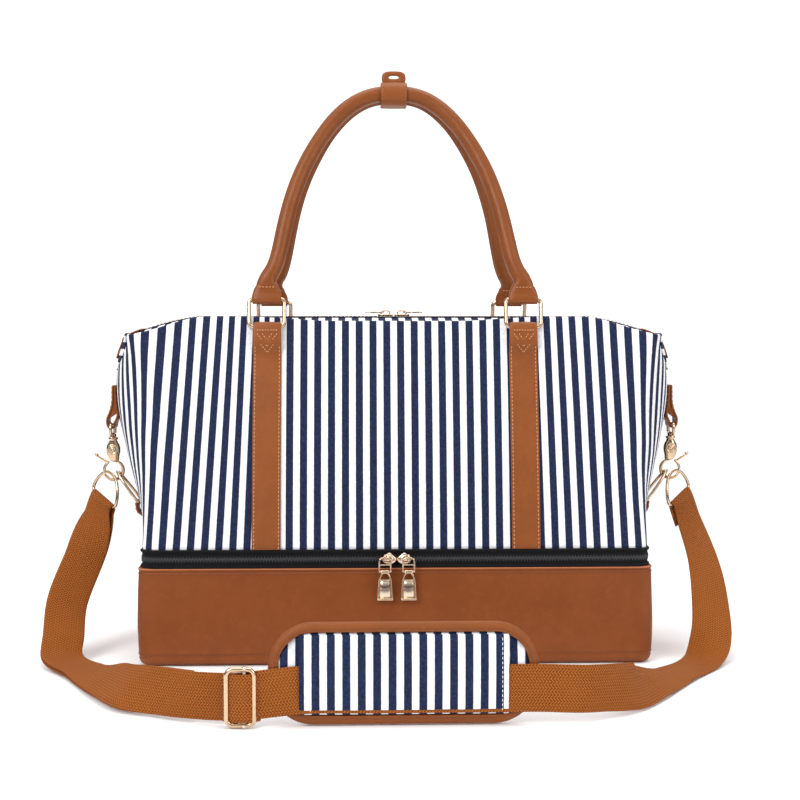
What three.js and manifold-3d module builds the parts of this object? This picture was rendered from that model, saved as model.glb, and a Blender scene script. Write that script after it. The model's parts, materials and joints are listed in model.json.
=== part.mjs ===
// Weekender bag: a striped main compartment hinged on a leather shoe compartment, two rolled
// handles on rectangular rings, side trigger hooks and a webbing shoulder strap with a pad.
// Millimetres, +Z up, front faces -Y, origin on the floor under the middle of the base.
import * as THREE from "three";
import { mergeVertices } from "three/addons/utils/BufferGeometryUtils.js";
import Module from "manifold-3d";

const wasm = await Module();
wasm.setup();

// ---- Driving dimensions ----
const GAP = 0.35;
const BASE = { halfWidth: 250, halfDepth: 110, height: 96, corner: 20, wall: 4, floor: 3 };
const UPPER_Z = 112;
const TOP_END = 272;
const UPPER = { topZ: 334, topDrop: 14, baseHalfDepth: 108.5, topHalfDepth: 66, corner: 18, wall: 3 };
const UPPER_HALF_WIDTHS = [[0, 246], [0.22, 262], [0.45, 276], [0.72, 286], [0.9, 282], [1, 273]];
const ZIP = { z: 338, straight: 225, half: 268, drop: 17, tape: 14, pitch: 0.5 };
const LOWER_ZIP = {
  low: 96.4, high: 111.6, thickness: 1.4, coil: 1.6, halfGap: 0.2, halfWidth: 246, halfDepth: 109, corner: 18,
  endY: 84, hingeWidth: 440,
};
const STRAP = { width: 28, x: 126, thickness: 2, lowZ: 113, pivotZ: 327 };
const RING = { halfWidth: 17.4, height: 28, wire: 2, corner: 3.3, cornerTurns: 3 };
const RING_LEAN = 6.5;
const HANDLE = {
  radius: 8, footX: 127, topZ: 567, topY: 9, tabWidth: 30, tabThickness: 9.2, taper: 26, footGap: 8,
};
const HANDLE_ARCH = [[126, 374], [117, 396], [104, 453], [87, 497], [62, 536], [33, 560]];
const WRAP = {
  clearance: 0.7, thickness: 2.2, below: 1.5, width: 27, tabHalfWidth: 12, tabHeight: 12, tabCorner: 7,
};
const TOP_SLIDER = { x: 8.5, length: 15, width: 9, thickness: 1.8, eyeX: 2.2, eyeLength: 7, pullLength: 11 };
const PULL = {
  x: 7.2, y: -112.6, z: 104, linkX: 11.4, linkY: -117.2, linkZ: 106, linkHalfWidth: 5.4,
  tabPivotZ: 92.5, tabLength: 27.6, tabHalfWidth: 7.2, shoulderHalfWidth: 5.6, tabThickness: 2.6,
};
const HOOK = {
  eyeX: 290.8, eyeZ: 228.3, eyeWire: 1.7, eyeHalfWidth: 13.2, eyeHeight: 12,
  jawX: 290.3, jawZ: 180, jawRadius: 9.8, jawWire: 1.8, boreZ: 33, bore: 2.5, rivetZ: 19,
};
const STRAP_DEE = { halfWidth: 24.6 };
const BAG_DEE = { halfWidth: 12 };
const DEE_WIRE = 1.6;
const TAB = { thickness: 2, endWidth: 20, endTopZ: 268, lowerWidth: 18, lowerLowZ: 118, lowerPivotZ: 148 };
const WEBBING = { width: 40, thickness: 1.8 };
const LAYER_GAP = { ring: 3.6, run: 1.2 };
const PAD = {
  halfWidth: 112, low: 0.4, height: 86, y: -319.5, bodyDepth: 9, webbingZ: 31, corner: 26,
  edge: 3, sleeveWidth: 172, sleeveHeight: 66, sleeveThickness: 1.6,
};
const ADJUSTER = { x: -134, y: -321.4, halfWidth: 12, height: 47, wire: 1.7 };

// ---- Materials ----
const finish = (color, roughness, metalness) => ({ color, roughness, metalness });
const LEATHER = finish(0x9a5526, 0.5, 0);
const STRAP_LEATHER = finish(0xa85a2a, 0.48, 0);
const STRIPE = finish(0x8d93b4, 0.85, 0);
const TAPE = finish(0x1d1f22, 0.8, 0);
const GOLD = finish(0xdcc4a2, 0.22, 1);
const CANVAS_WEB = finish(0xa8642a, 0.85, 0);
const LINING = finish(0x8b8d92, 0.9, 0);
const BOARD = finish(0x55504a, 0.9, 0);

// ---- Solid builders ----
const vec = (x, y, z) => new THREE.Vector3(x, y, z);
const lerp = THREE.MathUtils.lerp;
const steps = (count) => Array.from({ length: count + 1 }, (_, i) => i / count);

function solid(points, triangles) {
  let volume = 0;
  for (const [a, b, c] of triangles) volume += points[a].dot(points[b].clone().cross(points[c]));
  const faces = volume < 0 ? triangles.map(([a, b, c]) => [a, c, b]) : triangles;
  const geometry = new THREE.BufferGeometry();
  geometry.setAttribute("position", new THREE.Float32BufferAttribute(points.flatMap((p) => p.toArray()), 3));
  geometry.setIndex(faces.flat());
  return geometry;
}

// The walls between successive closed sections of equal length. The two halves of a section
// split their quads along facing diagonals, so a thin twisted sheet keeps its thickness.
function wallTriangles(spans, count, size) {
  const triangles = [];
  for (let i = 0; i < spans; i++) {
    const low = i * size;
    const high = ((i + 1) % count) * size;
    for (let j = 0; j < size; j++) {
      const k = (j + 1) % size;
      if (j < size / 2) triangles.push([low + j, low + k, high + k], [low + j, high + k, high + j]);
      else triangles.push([low + j, low + k, high + j], [low + k, high + k, high + j]);
    }
  }
  return triangles;
}

// Joins successive closed sections; the ends are capped, or joined when closed. A profile shapes
// the caps of sections that aren't convex.
function loft(sections, closed = false, profile = null) {
  const size = sections[0].length;
  const count = sections.length;
  const triangles = wallTriangles(closed ? count : count - 1, count, size);
  if (!closed) {
    const cap = profile
      ? THREE.ShapeUtils.triangulateShape(profile, [])
      : steps(size - 3).map((_, i) => [0, i + 1, i + 2]);
    const end = (count - 1) * size;
    const flip = profile !== null && THREE.ShapeUtils.isClockWise(profile);
    for (const [a, b, c] of cap.map((face) => (flip ? [...face].reverse() : face))) {
      triangles.push([a, c, b], [end + a, end + b, end + c]);
    }
  }
  return solid(sections.flat(), triangles);
}

// A thin sheet between two grids of points, rows by columns, closed along its four edges.
function sheet(outer, inner) {
  const sections = outer.map((row, i) => [...row, ...inner[i].slice().reverse()]);
  const columns = outer[0].length;
  const size = columns * 2;
  const end = (sections.length - 1) * size;
  const triangles = wallTriangles(sections.length - 1, sections.length, size);
  for (let j = 0; j < columns - 1; j++) {
    const [a, b, c, d] = [j, j + 1, size - 2 - j, size - 1 - j];
    triangles.push([a, c, b], [a, d, c], [end + a, end + b, end + c], [end + a, end + c, end + d]);
  }
  return solid(sections.flat(), triangles);
}

// A round wire along points in space; the sections turn with the path without twisting.
function wire(path, radius, closed = true, sides = 8) {
  const count = path.length;
  const tangent = (i) => {
    const before = closed ? path[(i + count - 1) % count] : path[Math.max(i - 1, 0)];
    const after = closed ? path[(i + 1) % count] : path[Math.min(i + 1, count - 1)];
    return after.clone().sub(before).normalize();
  };
  const plane = new THREE.Vector3();
  for (let i = 1; i < count - 1; i++) {
    const a = path[i].clone().sub(path[0]);
    plane.add(a.cross(path[i + 1].clone().sub(path[0])));
  }
  if (plane.length() < 1e-6) plane.set(0.3, 0.5, 0.8).cross(tangent(0));
  plane.normalize();
  const sections = path.map((centre, i) => {
    const out = tangent(i).cross(plane).normalize();
    return steps(sides).slice(0, sides).map((t) => {
      const angle = t * Math.PI * 2;
      return centre.clone()
        .addScaledVector(out, radius * Math.cos(angle))
        .addScaledVector(plane, radius * Math.sin(angle));
    });
  });
  return loft(sections, closed);
}

function place(geometry, x, y, z) {
  return geometry.clone().translate(x, y, z);
}

function block(width, depth, height, x, y, z) {
  return place(new THREE.BoxGeometry(width, depth, height), x, y, z);
}

function toManifold(geometry) {
  const bare = geometry.clone();
  bare.deleteAttribute("normal");
  bare.deleteAttribute("uv");
  const merged = mergeVertices(bare, 1e-4);
  return new wasm.Manifold(new wasm.Mesh({
    numProp: 3,
    vertProperties: new Float32Array(merged.getAttribute("position").array),
    triVerts: new Uint32Array(merged.getIndex().array),
  }));
}

function fromManifold(result) {
  const mesh = result.getMesh();
  const geometry = new THREE.BufferGeometry();
  geometry.setAttribute("position", new THREE.BufferAttribute(mesh.vertProperties, 3));
  geometry.setIndex(new THREE.BufferAttribute(mesh.triVerts, 1));
  return geometry;
}

const join = (...parts) => fromManifold(parts.map(toManifold).reduce((a, b) => a.add(b)));
const cut = (part, tool) => fromManifold(toManifold(part).subtract(toManifold(tool)));

const bag = new THREE.Group();

function addPart(name, geometry, look) {
  const mesh = new THREE.Mesh(geometry, new THREE.MeshStandardMaterial(look));
  mesh.name = name;
  bag.add(mesh);
}

function mirrored(geometry, side) {
  if (side > 0) return geometry;
  const copy = geometry.clone().scale(-1, 1, 1);
  const index = Array.from(copy.getIndex().array);
  for (let i = 0; i < index.length; i += 3) [index[i + 1], index[i + 2]] = [index[i + 2], index[i + 1]];
  copy.setIndex(index);
  return copy;
}

// ---- Bag outline ----
// Points of a rounded rectangle: the front or back run with both corners, or one straight side.
function frontRun(halfWidth, halfDepth, corner, facing, flats) {
  const run = [];
  const turns = 3;
  for (const t of steps(turns)) {
    const angle = Math.PI / 2 * t;
    run.push([-halfWidth + corner - corner * Math.cos(angle), halfDepth - corner + corner * Math.sin(angle)]);
  }
  for (const t of steps(flats).slice(1, flats)) {
    run.push([lerp(-halfWidth + corner, halfWidth - corner, t), halfDepth]);
  }
  for (const t of steps(turns)) {
    const angle = Math.PI / 2 * (1 - t);
    run.push([halfWidth - corner + corner * Math.cos(angle), halfDepth - corner + corner * Math.sin(angle)]);
  }
  return run.map(([x, y]) => [x, y * facing]);
}

function sideRun(halfWidth, halfDepth, corner, side, flats) {
  const reach = halfDepth - corner - GAP;
  return steps(flats).map((t) => [halfWidth * side, lerp(-reach, reach, t)]);
}

function halfWidthAt(v) {
  const points = UPPER_HALF_WIDTHS.map(([t, w]) => new THREE.Vector2(t, w));
  const index = points.findIndex((p) => p.x >= v);
  const k = Math.max(index, 1);
  const p1 = points[k - 1];
  const p2 = points[k];
  const p0 = points[Math.max(k - 2, 0)];
  const p3 = points[Math.min(k + 1, points.length - 1)];
  const span = p2.x - p1.x;
  const t = (v - p1.x) / span;
  const m1 = k > 1 ? (p2.y - p0.y) / (p2.x - p0.x) * span : p2.y - p1.y;
  const m2 = p3 !== p2 ? (p3.y - p1.y) / (p3.x - p1.x) * span : p2.y - p1.y;
  const a = 2 * t ** 3 - 3 * t ** 2 + 1;
  const b = t ** 3 - 2 * t ** 2 + t;
  const c = -2 * t ** 3 + 3 * t ** 2;
  const d = t ** 3 - t ** 2;
  return a * p1.y + b * m1 + c * p2.y + d * m2;
}

const halfDepthAt = (v) => lerp(UPPER.baseHalfDepth, UPPER.topHalfDepth, v);
const topAt = (x) => UPPER.topZ - UPPER.topDrop * (x / TOP_END) ** 2;

function upperRow(run, v, inset) {
  const corner = UPPER.corner;
  const points = run(halfWidthAt(v), halfDepthAt(v), corner);
  const inner = run(halfWidthAt(v) - inset, halfDepthAt(v) - inset, corner - inset);
  return inner.map(([x, y], i) => vec(x, y, lerp(UPPER_Z, topAt(points[i][0]), v)));
}

function upperPanel(run, rows) {
  const grid = (inset) => steps(rows).map((v) => upperRow(run, v, inset));
  return sheet(grid(0), grid(UPPER.wall));
}

function frontYAt(z, x) {
  const v = (z - UPPER_Z) / (topAt(x) - UPPER_Z);
  return halfDepthAt(v);
}

function sideXAt(z) {
  const v = (z - UPPER_Z) / (topAt(270) - UPPER_Z);
  return halfWidthAt(Math.min(v, 1));
}

// ---- Shoe compartment ----
function baseWall(run) {
  const { halfWidth, halfDepth, corner, wall, floor, height } = BASE;
  const rows = [floor + GAP, height / 2, height];
  const grid = (inset) => rows.map((z) => run(halfWidth - inset, halfDepth - inset, corner - inset)
    .map(([x, y]) => vec(x, y, z)));
  return sheet(grid(0), grid(wall));
}

function wholeRun(halfWidth, halfDepth, corner, flats) {
  const front = frontRun(halfWidth, halfDepth, corner, -1, flats);
  return [...front, ...frontRun(halfWidth, halfDepth, corner, 1, flats).reverse()];
}

function roundedSlab(halfWidth, halfDepth, corner, low, high) {
  const outline = wholeRun(halfWidth, halfDepth, corner, 2);
  const section = (z) => outline.map(([x, y]) => vec(x, y, z));
  return loft([section(low), section(high)]);
}

function openBox(halfWidth, halfDepth, corner, low, high, wall) {
  const ring = (inset, z) => wholeRun(halfWidth - inset, halfDepth - inset, corner - inset, 2)
    .map(([x, y]) => vec(x, y, z));
  return loft([ring(0, low), ring(0, high), ring(wall, high), ring(wall, low + wall)]);
}

function buildShoeCompartment() {
  const { halfWidth, halfDepth, corner, wall, floor, height } = BASE;
  addPart("base_front_panel", baseWall((w, d, c) => frontRun(w, d, c, -1, 4)), LEATHER);
  addPart("base_back_panel", baseWall((w, d, c) => frontRun(w, d, c, 1, 4)), LEATHER);
  addPart("base_side_right", baseWall((w, d, c) => sideRun(w, d + (c - corner), c, 1, 2)), LEATHER);
  addPart("base_side_left", baseWall((w, d, c) => sideRun(w, d + (c - corner), c, -1, 2)), LEATHER);
  addPart("base_bottom", roundedSlab(halfWidth, halfDepth, corner, 0, floor), LEATHER);
  const inside = wall + GAP;
  const boardTop = floor + GAP + 2;
  addPart("base_stiffener_board",
    roundedSlab(halfWidth - inside, halfDepth - inside, corner - inside, floor + GAP, boardTop), BOARD);
  addPart("shoe_lining",
    openBox(halfWidth - inside, halfDepth - inside, corner - inside, boardTop + GAP, height - 4, 1), LINING);
}

// ---- Lower zip: one tape on each side of the opening, round the front and both sides ----
function zipRun(inset) {
  const w = LOWER_ZIP.halfWidth - inset;
  const front = frontRun(w, LOWER_ZIP.halfDepth - inset, LOWER_ZIP.corner - inset, -1, 2);
  return [[-w, LOWER_ZIP.endY], ...front, [w, LOWER_ZIP.endY]];
}

function zipTape(low, high, coilLow, coilHigh) {
  const t = LOWER_ZIP.thickness;
  const outer = zipRun(0);
  const inner = zipRun(t);
  const bead = zipRun(-LOWER_ZIP.coil);
  const coilAtTop = coilHigh === high;
  const profile = coilAtTop
    ? [["o", low], ["o", coilLow], ["b", coilLow], ["b", high], ["i", high], ["i", low]]
    : [["o", coilHigh], ["o", high], ["i", high], ["i", low], ["b", low], ["b", coilHigh]];
  const runs = { o: outer, b: bead, i: inner };
  const sections = outer.map((_, i) => profile.map(([run, z]) => vec(...runs[run][i], z)));
  const shape = profile.map(([run, z]) => new THREE.Vector2({ o: 0, b: 2, i: -t }[run], z));
  return loft(sections, false, shape);
}

function buildLowerZip() {
  const { low, high, coil, halfGap, hingeWidth, thickness } = LOWER_ZIP;
  const middle = (low + high) / 2;
  addPart("lower_zip_base_tape", zipTape(low, middle - halfGap, middle - coil, middle - halfGap), TAPE);
  addPart("lower_zip_upper_tape", zipTape(middle + halfGap, high, middle + halfGap, middle + coil), TAPE);
  const hingeY = BASE.halfDepth - 1.5 - thickness / 2;
  addPart("rear_hinge_tape", block(hingeWidth, thickness, high - low - 1, 0, hingeY, middle), TAPE);
}

// ---- Main compartment ----
const zipDrop = (x) => Math.max(0, (Math.abs(x) - ZIP.straight) / (TOP_END - ZIP.straight));

function topPanel(facing) {
  const columns = 14;
  const rows = 3;
  const half = 266;
  const zipZ = (x) => ZIP.z - ZIP.drop * zipDrop(x) ** 2;
  const edge = (x) => {
    const over = Math.max(0, Math.abs(x) - (273 - UPPER.corner));
    return UPPER.topHalfDepth - UPPER.corner + Math.sqrt(UPPER.corner ** 2 - over ** 2) - 0.5;
  };
  const grid = (lift) => steps(columns).map((s) => {
    const x = lerp(-half, half, s);
    return steps(rows).map((t) => {
      const y = lerp(edge(x), ZIP.tape + GAP, t);
      const bottom = lerp(topAt(x) + GAP, zipZ(x) - 1, t);
      return vec(x, y * facing, bottom + lift);
    });
  });
  return sheet(grid(2), grid(0));
}

function topTape(facing) {
  const profile = [[ZIP.tape, -0.5], [3, -0.5], [3, -1.4], [ZIP.pitch, -1.4],
    [ZIP.pitch, 1.4], [3, 1.4], [3, 0.5], [ZIP.tape, 0.5]];
  const stations = [-ZIP.half, -258, -246, -235, -ZIP.straight, 0, ZIP.straight, 235, 246, 258, ZIP.half];
  const sections = stations.map((x) => {
    const fall = ZIP.drop * zipDrop(x) ** 2;
    return profile.map(([y, z]) => vec(x, y * facing, ZIP.z - fall + z));
  });
  return loft(sections, false, profile.map(([y, z]) => new THREE.Vector2(y, z)));
}

function buildMainCompartment() {
  const wall = UPPER.wall + GAP;
  addPart("upper_front_panel", upperPanel((w, d, c) => frontRun(w, d, c, -1, 6), 8), STRIPE);
  addPart("upper_back_panel", upperPanel((w, d, c) => frontRun(w, d, c, 1, 6), 8), STRIPE);
  const sideOf = (side) => (w, d, c) => sideRun(w, d + (c - UPPER.corner), c, side, 2);
  addPart("gusset_right", upperPanel(sideOf(1), 8), STRIPE);
  addPart("gusset_left", upperPanel(sideOf(-1), 8), STRIPE);
  addPart("top_panel_front", topPanel(-1), STRIPE);
  addPart("top_panel_back", topPanel(1), STRIPE);
  addPart("top_zip_front_tape", topTape(-1), TAPE);
  addPart("top_zip_back_tape", topTape(1), TAPE);
  const edge = wall + 1.5;
  const floorWidth = UPPER_HALF_WIDTHS[0][1] - edge;
  const floorZ = UPPER_Z + 0.5;
  const floorSlab = roundedSlab(floorWidth, UPPER.baseHalfDepth - edge, 12, floorZ, floorZ + 4);
  addPart("divider_floor", floorSlab, LINING);
  const lining = [];
  const ring = (v, inset) => {
    const w = halfWidthAt(v) - inset;
    const d = halfDepthAt(v) - inset;
    const corner = UPPER.corner - wall;
    return wholeRun(w, d, corner, 4).map(([x, y]) => vec(x, y, lerp(UPPER_Z, topAt(TOP_END), v)));
  };
  const levels = [0.026, 0.22, 0.45, 0.72, 0.94];
  for (const v of levels) lining.push(ring(v, wall + 1.8));
  for (const v of levels.slice(1).reverse()) lining.push(ring(v, wall + 2.8));
  lining.push(ring(levels[0] + 0.005, wall + 2.8));
  addPart("main_lining", loft(lining), LINING);
}

// ---- Straps and tabs that end in a loop round a wire ----
// A point at `offset` from a surface given as a distance outwards at each height.
function offSurface(surface, offset, z) {
  const slope = (surface(z + 1) - surface(z - 1)) / 2;
  const length = Math.hypot(1, slope);
  return [surface(z) + offset / length, z - offset * slope / length];
}

const loopOffset = (thickness, wireRadius) => 2 * GAP + thickness + wireRadius;

// The strip follows a surface at `offset` from it, leaves it near the wire and folds back behind it.
function loopStrip({ width, thickness, wireRadius, low, pivot, tail, surface, place3d, up = 1 }) {
  const mid = thickness / 2;
  const back = GAP + mid;
  const centre = loopOffset(thickness, wireRadius);
  const bend = wireRadius + GAP + mid;
  const path = [];
  const rise = Math.min(16, Math.abs(pivot - low) * 0.4);
  const climb = pivot - up * rise;
  for (const t of steps(8)) path.push([back, lerp(low, climb - up * (rise + 2), t)]);
  for (const t of steps(3)) {
    const smooth = t * t * (3 - 2 * t);
    path.push([lerp(back, centre + bend, smooth), lerp(climb - up * rise * 0.7, climb + up * 2, t)]);
  }
  for (const t of steps(6)) {
    const angle = Math.PI * t;
    path.push([centre + bend * Math.cos(angle), pivot + up * bend * Math.sin(angle)]);
  }
  path.push([back, pivot - up * tail]);
  const sections = path.map(([offset, z], i) => {
    const before = path[Math.max(i - 1, 0)];
    const after = path[Math.min(i + 1, path.length - 1)];
    const along = new THREE.Vector2(after[0] - before[0], after[1] - before[1]).normalize();
    const out = new THREE.Vector2(-along.y, along.x).multiplyScalar(mid);
    const corner = (side, sign) => {
      const [reach, height] = offSurface(surface, offset + out.x * sign, z + out.y * sign);
      return place3d(reach, height, side * width / 2);
    };
    return [corner(-1, 1), corner(1, 1), corner(1, -1), corner(-1, -1)];
  });
  return loft(sections);
}

function handleStrap(facing, side) {
  const x = STRAP.x * side;
  return loopStrip({
    width: STRAP.width, thickness: STRAP.thickness, wireRadius: RING.wire,
    low: STRAP.lowZ, pivot: STRAP.pivotZ, tail: 9,
    surface: (z) => frontYAt(z, x),
    place3d: (out, z, across) => vec(x + across, out * facing, z),
  });
}

const [ringPivotY, ringPivotZ] = offSurface(
  (z) => frontYAt(z, STRAP.x), loopOffset(STRAP.thickness, RING.wire), STRAP.pivotZ);
const ringTop = { y: ringPivotY - RING_LEAN, z: ringPivotZ + RING.height };

function roundedLoop(halfWidth, height, corner, turns) {
  const points = [];
  const centres = [[halfWidth - corner, corner, -90], [halfWidth - corner, height - corner, 0],
    [corner - halfWidth, height - corner, 90], [corner - halfWidth, corner, 180]];
  for (const [cx, cz, start] of centres) {
    for (const t of steps(turns)) {
      const angle = THREE.MathUtils.degToRad(start + 90 * t);
      points.push([cx + corner * Math.cos(angle), cz + corner * Math.sin(angle)]);
    }
  }
  return points;
}

function handleRing(facing, side) {
  const lean = new THREE.Vector2(ringTop.y - ringPivotY, RING.height);
  const length = lean.length();
  const loop = roundedLoop(RING.halfWidth, length, RING.corner, RING.cornerTurns);
  return wire(loop.map(([x, t]) => vec(
    HANDLE.footX * side + x,
    (ringPivotY + lean.x / length * t) * facing,
    ringPivotZ + lean.y / length * t,
  )), RING.wire);
}

// ---- Handles ----
const handleY = (z) => lerp(ringTop.y, HANDLE.topY, (z - ringTop.z) / (HANDLE.topZ - ringTop.z));

function handleTube(facing) {
  const foot = ringTop.z + HANDLE.footGap;
  const arch = [[HANDLE.footX, foot], ...HANDLE_ARCH];
  const outline = [...arch, [0, HANDLE.topZ], ...arch.slice().reverse().map(([x, z]) => [-x, z])];
  const curve = new THREE.CatmullRomCurve3(outline.map(([x, z]) => vec(x, handleY(z) * facing, z)));
  const path = curve.getPoints(38);
  const flat = (p) => THREE.MathUtils.smoothstep(p.z, foot, foot + HANDLE.taper);
  const sides = 10;
  const sections = path.map((centre, i) => {
    const along = path[Math.min(i + 1, path.length - 1)].clone().sub(path[Math.max(i - 1, 0)]).normalize();
    const across = vec(0, 1, 0).cross(along).normalize();
    const depth = along.clone().cross(across);
    const wide = lerp(HANDLE.tabWidth / 2, HANDLE.radius, flat(centre));
    const thick = lerp(HANDLE.tabThickness / 2, HANDLE.radius, flat(centre));
    return steps(sides).slice(0, sides).map((t) => {
      const angle = (t + 0.5 / sides) * Math.PI * 2;
      return centre.clone()
        .addScaledVector(across, wide * Math.cos(angle))
        .addScaledVector(depth, thick * Math.sin(angle));
    });
  });
  return loft(sections);
}

// The tab at each handle foot folds round the ring's top wire.
function handleLoop(facing, side) {
  const bore = RING.wire + GAP;
  const outside = bore + 2;
  const shape = new THREE.Shape();
  shape.absarc(0, 0, outside, 0, Math.PI, true);
  shape.lineTo(-outside, 12);
  shape.lineTo(outside, 12);
  shape.closePath();
  const hole = new THREE.Path();
  hole.absarc(0, 0, bore, 0, Math.PI * 2, false);
  shape.holes.push(hole);
  const width = RING.halfWidth * 2 - 11;
  const geometry = new THREE.ExtrudeGeometry(shape, { depth: width, bevelEnabled: false, curveSegments: 6 });
  geometry.translate(0, 0, -width / 2).rotateX(Math.PI / 2).rotateZ(Math.PI / 2);
  return place(geometry, HANDLE.footX * side, ringTop.y * facing, ringTop.z);
}

function buildHandle(name, facing) {
  addPart(name, join(handleTube(facing), handleLoop(facing, 1), handleLoop(facing, -1)), STRAP_LEATHER);
}

// The wrap is open towards the back handle so that each handle can swing away.
function buildHandleWrap() {
  const inner = HANDLE.radius + WRAP.clearance;
  const outer = inner + WRAP.thickness;
  const { below, width } = WRAP;
  const reach = HANDLE.topY;
  const shape = new THREE.Shape();
  shape.moveTo(reach, outer);
  shape.lineTo(-reach, outer);
  shape.absarc(-reach, 0, outer, Math.PI / 2, Math.PI, false);
  shape.lineTo(-reach - outer, -below);
  shape.absarc(-reach, -below, outer, Math.PI, Math.PI * 1.5, false);
  shape.lineTo(reach, -below - outer);
  shape.lineTo(reach, -below - inner);
  shape.lineTo(-reach, -below - inner);
  shape.absarc(-reach, -below, inner, Math.PI * 1.5, Math.PI, true);
  shape.lineTo(-reach - inner, 0);
  shape.absarc(-reach, 0, inner, Math.PI, Math.PI / 2, true);
  shape.lineTo(reach, inner);
  const band = new THREE.ExtrudeGeometry(shape, { depth: width, bevelEnabled: false, curveSegments: 5 });
  band.translate(0, 0, -width / 2).rotateX(Math.PI / 2).rotateZ(Math.PI / 2);
  const tab = new THREE.Shape();
  const half = WRAP.tabHalfWidth;
  const corner = WRAP.tabCorner;
  const shoulder = WRAP.tabHeight - corner;
  tab.moveTo(-half, 0);
  tab.lineTo(half, 0);
  tab.lineTo(half, shoulder);
  tab.absarc(half - corner, shoulder, corner, 0, Math.PI / 2, false);
  tab.lineTo(corner - half, WRAP.tabHeight);
  tab.absarc(corner - half, shoulder, corner, Math.PI / 2, Math.PI, false);
  const slot = new THREE.Path();
  slot.moveTo(-5, 5);
  slot.lineTo(-5, 8);
  slot.lineTo(5, 8);
  slot.lineTo(5, 5);
  tab.holes.push(slot);
  const ear = new THREE.ExtrudeGeometry(tab, { depth: 3.4, bevelEnabled: false, curveSegments: 4 });
  ear.rotateX(Math.PI / 2).translate(0, -reach + 1.7, outer - 0.4);
  addPart("handle_wrap", place(join(band, ear), 0, 0, HANDLE.topZ), STRAP_LEATHER);
}

// ---- Zip sliders and pulls ----
function buildTopSlider(name, side) {
  const { length, width, thickness, eyeX, eyeLength, pullLength } = TOP_SLIDER;
  const x = TOP_SLIDER.x * side;
  const coilTop = ZIP.z + 1.4;
  const plate = block(length, width, thickness, x, 0, coilTop + GAP + thickness / 2);
  const bail = roundedLoop(4.5, 4.5, 1.6, 2).map(([u, t]) => vec(x + u, 0, coilTop + 1.2 + t));
  addPart(`${name}_slider`, join(plate, wire(bail, 0.7, true, 6)), GOLD);
  const pivotX = x + eyeX * side;
  const pivotZ = coilTop + 4;
  const eye = roundedLoop(3.2, eyeLength, 1.6, 2).map(([u, t]) => vec(pivotX + t * side, u, pivotZ));
  const tab = block(pullLength, 8.6, 1.4, pivotX + (eyeLength - 0.6 + pullLength / 2) * side, 0, pivotZ);
  addPart(`${name}_pull`, join(wire(eye, 0.7, true, 6), tab), GOLD);
}

function buildLowerPull(name, side) {
  const x = PULL.x * side;
  const linkX = PULL.linkX * side;
  const shape = new THREE.Shape();
  shape.moveTo(-6.6, 0);
  shape.lineTo(-4.4, 4.6);
  shape.lineTo(4.4, 4.6);
  shape.lineTo(6.6, 0);
  shape.lineTo(4.4, -4.6);
  shape.lineTo(-4.4, -4.6);
  const body = new THREE.ExtrudeGeometry(shape, { depth: 3, bevelEnabled: false });
  body.rotateX(Math.PI / 2).translate(x, PULL.y, PULL.z);
  const bail = wire(roundedLoop(2.9, 5.4, 1.4, 2)
    .map(([u, t]) => vec(linkX, PULL.y - 2 - t, PULL.linkZ + u)), 0.9, true, 6);
  addPart(`${name}_slider`, join(body, bail), GOLD);
  const drop = PULL.linkZ - PULL.tabPivotZ;
  const loop = roundedLoop(PULL.linkHalfWidth, drop, 1.5, 2)
    .map(([u, t]) => vec(linkX + u, PULL.linkY, PULL.linkZ - t));
  const frame = wire(loop, 0.8, true, 6);
  const cross = block(11, 1.2, 1.4, linkX, PULL.linkY, PULL.linkZ - 6);
  addPart(`${name}_link`, join(frame, cross), GOLD);
  const barrel = new THREE.CylinderGeometry(2.6, 2.6, 7.4, 12).rotateZ(Math.PI / 2);
  const bore = new THREE.CylinderGeometry(1.25, 1.25, 9, 12).rotateZ(Math.PI / 2);
  const plate = new THREE.Shape();
  plate.moveTo(-PULL.shoulderHalfWidth, -2);
  plate.lineTo(PULL.shoulderHalfWidth, -2);
  plate.lineTo(PULL.tabHalfWidth, -PULL.tabLength);
  plate.lineTo(-PULL.tabHalfWidth, -PULL.tabLength);
  const panel = new THREE.ExtrudeGeometry(plate, { depth: PULL.tabThickness, bevelEnabled: false });
  panel.rotateX(Math.PI / 2).translate(0, PULL.tabThickness / 2, 0);
  const tab = cut(join(barrel, panel), bore);
  addPart(`${name}_tab`, place(tab, linkX, PULL.linkY, PULL.tabPivotZ), GOLD);
}

// ---- Side hooks and D-rings; built for the right side and mirrored for the left ----
function deeRing(centre, along, up, halfWidth, height) {
  const points = [];
  for (const t of steps(4)) points.push([lerp(-halfWidth + 2, halfWidth - 2, t), 0]);
  for (const t of steps(14)) {
    const angle = Math.PI * lerp(0.03, 0.97, t);
    points.push([halfWidth * Math.cos(angle), height * Math.sin(angle)]);
  }
  const path = points.map(([u, t]) => centre.clone().addScaledVector(along, u).addScaledVector(up, t));
  return wire(path, DEE_WIRE, true, 6);
}

const [deeX, deeZ] = offSurface(sideXAt, loopOffset(TAB.thickness, DEE_WIRE), TAB.lowerPivotZ);
const BAG_DEE_BAR = vec(deeX, 0, deeZ);
const bagDeeUp = vec(HOOK.jawX - 4 - BAG_DEE_BAR.x, 0, HOOK.jawZ - 1.4 - BAG_DEE_BAR.z);
const STRAP_DEE_ALONG = vec(0.6, 0.726, 0.337).normalize();
const STRAP_DEE_BAR = vec(302, 4.1, 148.6);
const strapDeeUp = vec(HOOK.jawX + 2.4, 0, HOOK.jawZ - 3.2).sub(STRAP_DEE_BAR);

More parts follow.
